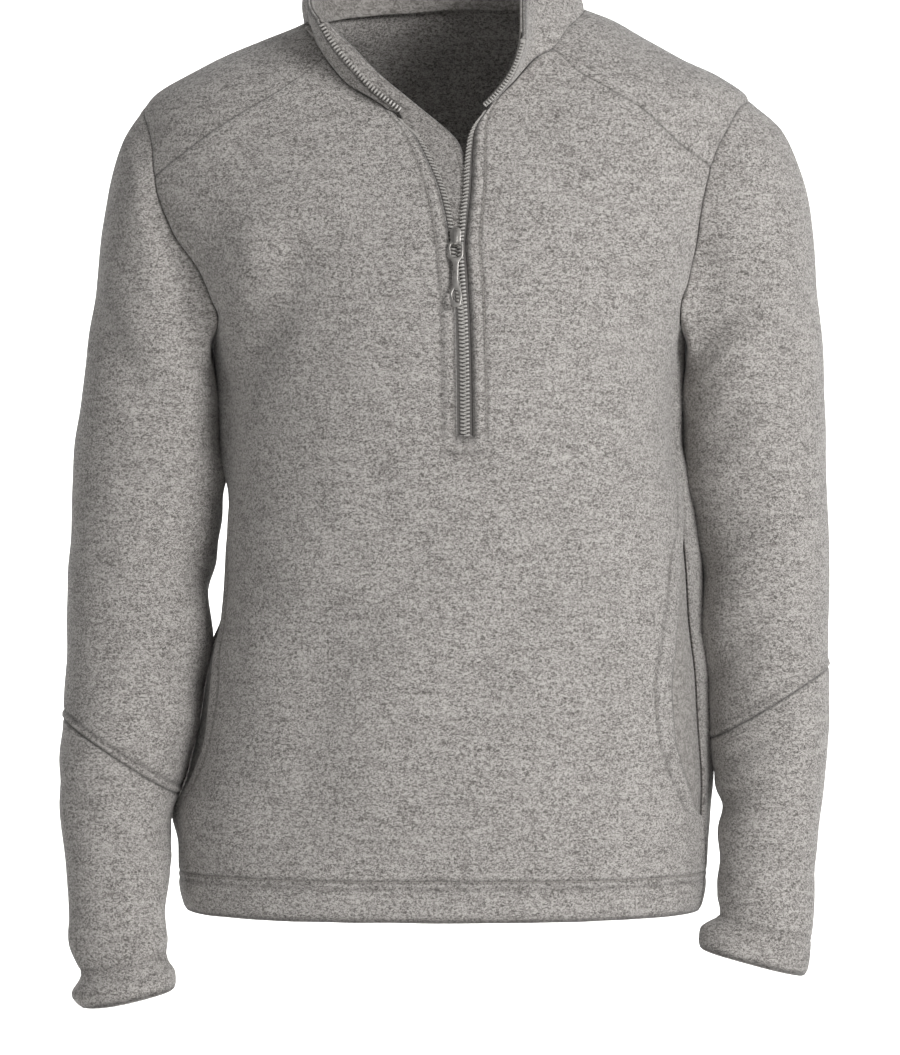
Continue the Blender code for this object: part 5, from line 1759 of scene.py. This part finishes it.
@dataclass
class ZipGuard:
    """The strip of fleece behind the wearer's right side of the zip."""

    cut: Cut
    collar: Collar
    zipper: Zip
    fleece: Material
    thread: Material
    REACH = ((-345, 22), (-250, 22), (-210, 20), (-180, 18), (-152, 15), (-118, 8.5),
             (-80, -20))
    TOP = ((-9, -104.5, -98), (-19, -103.0, -88.5), (-38, -101.5, -74), (-52, -102.0, -62),
           (-66, -103.0, -48), (-81, -104.5, -33), (-91.5, -105.5, -22.5))
    DEPTH, WALL = 5.4 * MM, 1.7 * MM
    UNDER, COLLAR_DEPTH, NECK_STEP, CUT_OFF = 7 * MM, 4.1 * MM, 3.4 * MM, -108 * MM
    EDGE = EdgeStyle(roll=0.7, puff=0.35, puff_at=2, puff_width=1.4, rows=(4.2,),
                     row_depth=0.5, row_width=0.9)

    def build(self) -> None:
        """Makes the guard and the stitching near its free edge."""
        body = self.cut.body
        points, normals, across = self.zipper.body_edge(Side.RIGHT)
        keep = points[:, 2] < self.CUT_OFF
        sewn = (points - across * self.UNDER - normals * self.DEPTH)[keep]
        heights = points[keep, 2]
        x = smooth(self.REACH, heights / MM, 1) * MM
        angle = body.front_angle(x, heights)
        free = body.surface(angle, heights) - body.normal(angle, heights) * self.DEPTH
        at = np.linspace(0, Cut.NECK_COUNT, 7 * Cut.NECK_COUNT + 1)
        grid, outwards = self.collar.surface(np.linspace(0, 1, 5), at)
        edge = grid[:, 0] - outwards[:, 0] * self.COLLAR_DEPTH
        edge[0, 1] += self.NECK_STEP
        top = Curve(self.TOP, (1, 1, 1)).at(np.linspace(0, 1, 5)) * MM
        sewn_line = Curve(tuple(np.concatenate([sewn[::4], edge])), (1, 1, 1))
        free_line = Curve(tuple(np.concatenate([free[::4], top])), (1, 1, 1))
        marks = len(sewn[::4]) + 5
        index = np.linspace(0, marks - 1, 170)
        shares = [np.interp(index, np.arange(marks), c.table[:, 0])
                  for c in (sewn_line, free_line)]
        first, second = sewn_line.at(shares[0]), free_line.at(shares[1])
        share = np.concatenate([np.linspace(0, 0.8, 10), np.linspace(0.84, 1, 6)])
        sheet = (first[:, None] * (1 - share[None, :, None])
                 + second[:, None] * share[None, :, None])
        swell = np.sin(np.pi * share) * 0.8 * MM
        sheet[..., 1] -= swell[None, :]
        out = unit(np.cross(np.gradient(sheet, axis=1), np.gradient(sheet, axis=0)))
        out *= -np.sign(out[..., 1:2])
        # Painted shade: the whole guard is darkened, since it lies back in shade behind the
        # zip
        nap_and_shade = np.full(sheet.shape[:2], 0.3)
        dress_edge(sheet, out, nap_and_shade, Edge.LAST, self.EDGE)
        maker = MeshMaker()
        maker.wall(sheet, sheet + [0, self.WALL, 0], grid_quads(numbered(sheet)), nap_and_shade)
        piece = maker.build("fleece_zip_guard", self.fleece)
        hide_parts("zip_guard")
        sewing = Stitching(StitchSize(2.2, 0.6, 0.24, 0.2))
        width = np.linalg.norm(second - first, axis=1)
        shown = width > 8 * MM
        back = (self.EDGE.rows[0] * MM / np.maximum(width, 8 * MM))[:, None]
        line = (second * (1 - back) + first * back)[shown]
        sewing.row(line - [0, 0.5 * MM, 0], np.tile([0.0, -1.0, 0.0], (len(line), 1)), 0.3)
        sewing.build("stitching_guard", self.thread)


@dataclass(frozen=True)
class SliderSize:
    """The slider and its tab, as the CAD has them."""

    x: float = 4.2 * MM
    z: float = -185.5 * MM
    half_width: float = 4.3 * MM
    half_height: float = 7.4 * MM
    back: float = -2.4 * MM
    front: float = 1.7 * MM
    hinge_drop: float = 5.2 * MM
    hinge_rise: float = 3.0 * MM
    pull_thickness: float = 1.5 * MM
    pull_tilt: float = 0.02


@dataclass
class Slider:
    """The slider's body with its bridge, and the pull tab that turns in it."""

    cut: Cut
    size: SliderSize
    metal: Material

    def __post_init__(self) -> None:
        """Finds the slider's place and directions on the body."""
        cut, size = self.cut, self.size
        low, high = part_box("zip_slider")
        self.right = Vector((1, 0, 0))
        angle = cut.body.front_angle(size.x, size.z)
        turn, lift = 0.02, 2 * MM
        round_it = cut.body.plain(angle + turn, size.z) - cut.body.plain(angle - turn, size.z)
        up_it = cut.body.plain(angle, size.z + lift) - cut.body.plain(angle, size.z - lift)
        outwards = Vector(np.cross(round_it, up_it))
        outwards.x = 0
        self.out = outwards.normalized()
        self.up = self.out.cross(self.right)
        surface = Vector(cut.body.plain(angle, np.array(size.z)))
        middle = (low + high) / 2
        self.origin = Vector((size.x, surface.y, size.z))
        LOG.info("slider's CAD middle %s", tuple(round(c, 4) for c in middle))

    def solid(self, name: str, outline: list, holes: list, frame: tuple, low: float,
              high: float, bevel: float, body: str) -> bpy.types.Object:
        """Makes a bevelled plate.

        Args:
            name: the piece's name.
            outline: its outer loop of (right, up).
            holes: further loops.
            frame: its origin, then its right, up and outward directions.
            low: its back face.
            high: its front face.
            bevel: how round its edges are.
            body: the CAD body that carries it.
        Returns:
            The object.
        """
        origin, right, up, out = frame
        curve = bpy.data.curves.new(name, "CURVE")
        curve.dimensions, curve.fill_mode = "2D", "BOTH"
        curve.extrude, curve.bevel_depth = (high - low) / 2 - bevel, bevel
        curve.bevel_resolution, curve.offset = 2, -bevel
        for loop in (outline, *holes):
            spline = curve.splines.new("POLY")
            spline.points.add(len(loop) - 1)
            for point, (a, b) in zip(spline.points, loop):
                point.co = (a, b, 0, 1)
            spline.use_cyclic_u = True
        drawn = bpy.data.objects.new(name, curve)
        bpy.context.scene.collection.objects.link(drawn)
        bpy.context.view_layer.update()
        mesh = bpy.data.meshes.new_from_object(
            drawn.evaluated_get(bpy.context.evaluated_depsgraph_get()))
        bpy.data.objects.remove(drawn)
        middle = (low + high) / 2
        for vertex in mesh.vertices:
            a, b, c = vertex.co
            vertex.co = origin + right * a + up * b + out * (c + middle)
        piece = add_piece(name, mesh, self.metal, body)
        mesh.set_sharp_from_angle(angle=0.6)
        return piece

    @staticmethod
    def round_loop(points: list[tuple[float, float]], steps: int = 5) -> list:
        """Rounds a closed loop of points.

        Args:
            points: its corners.
            steps: points a corner.
        Returns:
            A smoother loop.
        """
        rows = np.array(points, float)
        before, after = np.roll(rows, 1, axis=0), np.roll(rows, -1, axis=0)
        t = np.linspace(0, 1, steps, endpoint=False)[:, None]
        loop = []
        for a, b, c in zip(before, rows, after):
            start, end = (a + b) / 2, (b + c) / 2
            loop += ((1 - t) ** 2 * start + 2 * t * (1 - t) * b + t ** 2 * end).tolist()
        return [tuple(p) for p in loop]

    def build(self) -> None:
        """Makes the slider and the tab."""
        size, wide, tall = self.size, self.size.half_width, self.size.half_height
        frame = (self.origin, self.right, self.up, self.out)
        outline = self.round_loop([
            (-0.5 * wide, tall), (0.5 * wide, tall), (wide, 0.6 * tall),
            (0.95 * wide, -0.1 * tall), (0.7 * wide, -tall), (-0.7 * wide, -tall),
            (-0.95 * wide, -0.1 * tall), (-wide, 0.6 * tall)])
        top = self.solid("slider_front_plate", outline, [], frame, 0.5 * MM, size.front,
                         0.35 * MM, GARMENT)
        self.solid("slider_back_plate", outline, [], frame, size.back, -1.2 * MM, 0.35 * MM,
                   GARMENT)
        self.solid("slider_post", self.round_loop(
            [(-0.3 * wide, tall * 0.95), (0.3 * wide, tall * 0.95), (0.2 * wide, 0.4 * tall),
             (-0.2 * wide, 0.4 * tall)]), [], frame, -1.4 * MM, 0.7 * MM, 0.1 * MM, GARMENT)
        tunnel, sunk = size.hinge_rise + 0.9 * size.pull_thickness, size.front - 0.4 * MM
        wall = 1.1 * MM
        side_view = [
            (sunk, 0.9 * tall), (tunnel * 0.8, 0.72 * tall), (tunnel + wall, 0.3 * tall),
            (tunnel + wall, -0.6 * tall), (tunnel + 0.8 * wall, -0.97 * tall), (sunk, -tall),
            (sunk, -0.9 * tall), (tunnel * 0.8, -0.88 * tall), (tunnel, -0.6 * tall),
            (tunnel, 0.0), (tunnel * 0.6, 0.2 * tall), (sunk, 0.3 * tall)]
        bridge_frame = (self.origin, self.out, self.up, self.right)
        self.solid("slider_bridge", self.round_loop(side_view, 3), [], bridge_frame,
                   -1.35 * MM, 1.35 * MM, 0.3 * MM, GARMENT)
        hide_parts("zip_slider")
        self.tab()

    def tab(self) -> None:
        """Makes the pull tab."""
        size = self.size
        hinge = self.origin - self.up * size.hinge_drop + self.out * size.hinge_rise
        down = (self.up * -math.cos(size.pull_tilt) + self.out * math.sin(size.pull_tilt))
        up = -down.normalized()
        frame = (hinge, self.right, up, self.right.cross(up))
        bar, wide, stem, loop = 0.75 * MM, 5.7 * MM, 2.0 * MM, 4.6 * MM
        neck, end = -31.0 * MM, -49.0 * MM
        right_side = [(0.78 * wide, bar), (wide, -1.2 * MM), (wide, -6.0 * MM),
                      (0.95 * wide, -10.5 * MM), (0.6 * wide, -13.2 * MM),
                      (stem, -15.5 * MM), (stem * 0.92, neck), (0.7 * loop, neck - 3.5 * MM),
                      (loop, neck - 8 * MM), (loop * 0.95, end + 6 * MM),
                      (0.75 * loop, end + 1.2 * MM), (0.35 * loop, end)]
        outline = right_side + [(-a, b) for a, b in reversed(right_side)]
        ring = [(-0.66 * wide, -bar), (-0.7 * wide, -5 * MM), (-0.62 * wide, -9.4 * MM),
                (-0.3 * wide, -11.4 * MM), (0.3 * wide, -11.4 * MM), (0.62 * wide, -9.4 * MM),
                (0.7 * wide, -5 * MM), (0.66 * wide, -bar)]
        eye = [(-0.1 * loop, neck - 3.4 * MM), (-0.55 * loop, neck - 7 * MM),
               (-0.55 * loop, neck - 11 * MM), (-0.1 * loop, end + 3.4 * MM),
               (0.45 * loop, end + 3.0 * MM), (0.62 * loop, end + 6 * MM),
               (0.3 * loop, neck - 5 * MM)]
        half = size.pull_thickness / 2
        piece = self.solid("pull_tab_plate", self.round_loop(outline), [
            self.round_loop(ring), self.round_loop(eye)], frame, -half, half, 0.45 * MM, PULL)
        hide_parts("zip_pull_tab")


# --- the studio


@dataclass(frozen=True)
class Studio:
    """Camera, lights and a pale sweep, as a catalogue photograph has them."""

    distance: float = 3.2
    eye_height: float = -0.4
    metres_per_pixel: float = 0.00077
    picture: tuple[int, int] = (900, 1055)
    floor: float = -1.15

    def camera(self) -> None:
        """Sets the camera at the photograph's place."""
        data = bpy.data.cameras.new("photo_camera")
        data.sensor_fit, data.sensor_width, data.sensor_height = "AUTO", 36.0, 36.0
        data.lens = 36.0 * self.distance / self.metres_per_pixel / max(self.picture)
        camera = bpy.data.objects.new("photo_camera", data)
        camera.location = (0, -self.distance, self.eye_height)
        camera.rotation_euler = (math.pi / 2, 0, 0)
        bpy.context.scene.collection.objects.link(camera)
        bpy.context.scene.camera = camera

    def area(self, name: str, place: tuple, aim: tuple, size: float, power: float) -> None:
        """Adds a soft box.

        Args:
            name: the light's name.
            place: where it stands.
            aim: what it points at.
            size: its width.
            power: its strength in watts.
        """
        data = bpy.data.lights.new(name, "AREA")
        data.shape, data.size, data.energy = "SQUARE", size, power
        light = bpy.data.objects.new(name, data)
        light.location = place
        way = Vector(aim) - Vector(place)
        light.rotation_euler = way.to_track_quat("-Z", "Y").to_euler()
        bpy.context.scene.collection.objects.link(light)

    def sweep(self) -> None:
        """Lays a floor that curves up behind the garment."""
        depth, width, radius = 5.4, 6.0, 1.0
        line = [(-5.0, self.floor), (depth - radius, self.floor)]
        for i in range(1, 17):
            turn = math.pi / 2 * i / 16
            line.append((depth - radius + radius * math.sin(turn),
                         self.floor + radius * (1 - math.cos(turn))))
        line.append((depth, 4.0))
        grid = np.array([[(x, y, z) for x in (-width, width)] for y, z in line])
        index = np.arange(2 * len(line)).reshape(-1, 2)
        mesh = bpy.data.meshes.new("studio_floor")
        mesh.from_pydata(grid.reshape(-1, 3), [], grid_quads(index))
        mesh.shade_smooth()
        material, tree, shader = new_material("studio_paper")
        grain = add_node(tree, "TexNoise", {"Scale": 3.0, "Detail": 2.0})
        tone = add_node(tree, "Mix", {
            "Factor": grain, 6: linear("#f6f6f5"), 7: linear("#fbfbfa")},
            data_type="RGBA")
        set_inputs(tree, shader, {
            "Base Color": tone.outputs[2], "Roughness": 1.0, "Specular IOR Level": 0.0})
        mesh.materials.append(material)
        floor = bpy.data.objects.new("studio_floor", mesh)
        bpy.context.scene.collection.objects.link(floor)

    def build(self) -> None:
        """Makes the studio."""
        self.camera()
        self.sweep()
        world = bpy.data.worlds.new("studio_light")
        bpy.context.scene.world = world
        world.use_nodes = True
        light = world.node_tree.nodes["Background"]
        light.inputs["Color"].default_value = linear("#ffffff")
        light.inputs["Strength"].default_value = 0.35
        self.area("key", (1.95, -2.55, 0.7), (0.05, 0, -0.35), 1.1, 90)
        self.area("fill", (-2.2, -2.2, 0.2), (0, 0, -0.4), 2.0, 2)
        self.area("backdrop_left", (-2.6, 3.5, 1.3), (0, 5.2, -0.5), 1.5, 150)
        self.area("backdrop_right", (2.6, 3.5, 1.3), (0, 5.2, -0.5), 1.5, 150)
        bpy.context.scene.view_settings.view_transform = "Standard"


# --- all together


def main() -> None:
    """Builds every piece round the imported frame."""
    logging.basicConfig(level=logging.INFO, format="%(message)s")
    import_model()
    body = BodyForm()
    cut, size = Cut(body), ClothSize()
    fleece = HeatherFleece("heather_sweater_fleece").build()
    inside = HeatherFleece("brushed_fleece_inside", pale="#a19d99", dark="#6d6965",
                           fleck="#55514d", fleck_share=0.45, nap=0.35, yarn_mm=2.6).build()
    thread = WovenTape("spun_polyester_thread", "#a8a39d", "#8b8680", 0.6).build()
    tape = WovenTape("woven_zip_tape").build()
    teeth = HardFinish("moulded_acetal_teeth", "#b5b2ae", "#8f8c88", 0.0, 0.38).build()
    metal = HardFinish("plated_zinc_slider", "#85827f", "#b0ada9", 0.9, 0.3).build()
    FrontPanel(cut, size, fleece, thread).build()
    BackPanel(cut, size, fleece, thread).build()
    for side in Side:
        Sleeve(cut, size, fleece, thread, side).build()
        PocketBag(side, cut, inside).build()
    collar = Collar(cut, size, fleece, thread, inside)
    collar.build()
    zipper = Zip(cut, collar, ZipSize(), tape, teeth)
    zipper.build()
    ZipGuard(cut, collar, zipper, fleece, thread).build()
    Slider(cut, SliderSize(), metal).build()
    Studio().build()


if __name__ == "__main__":
    main()
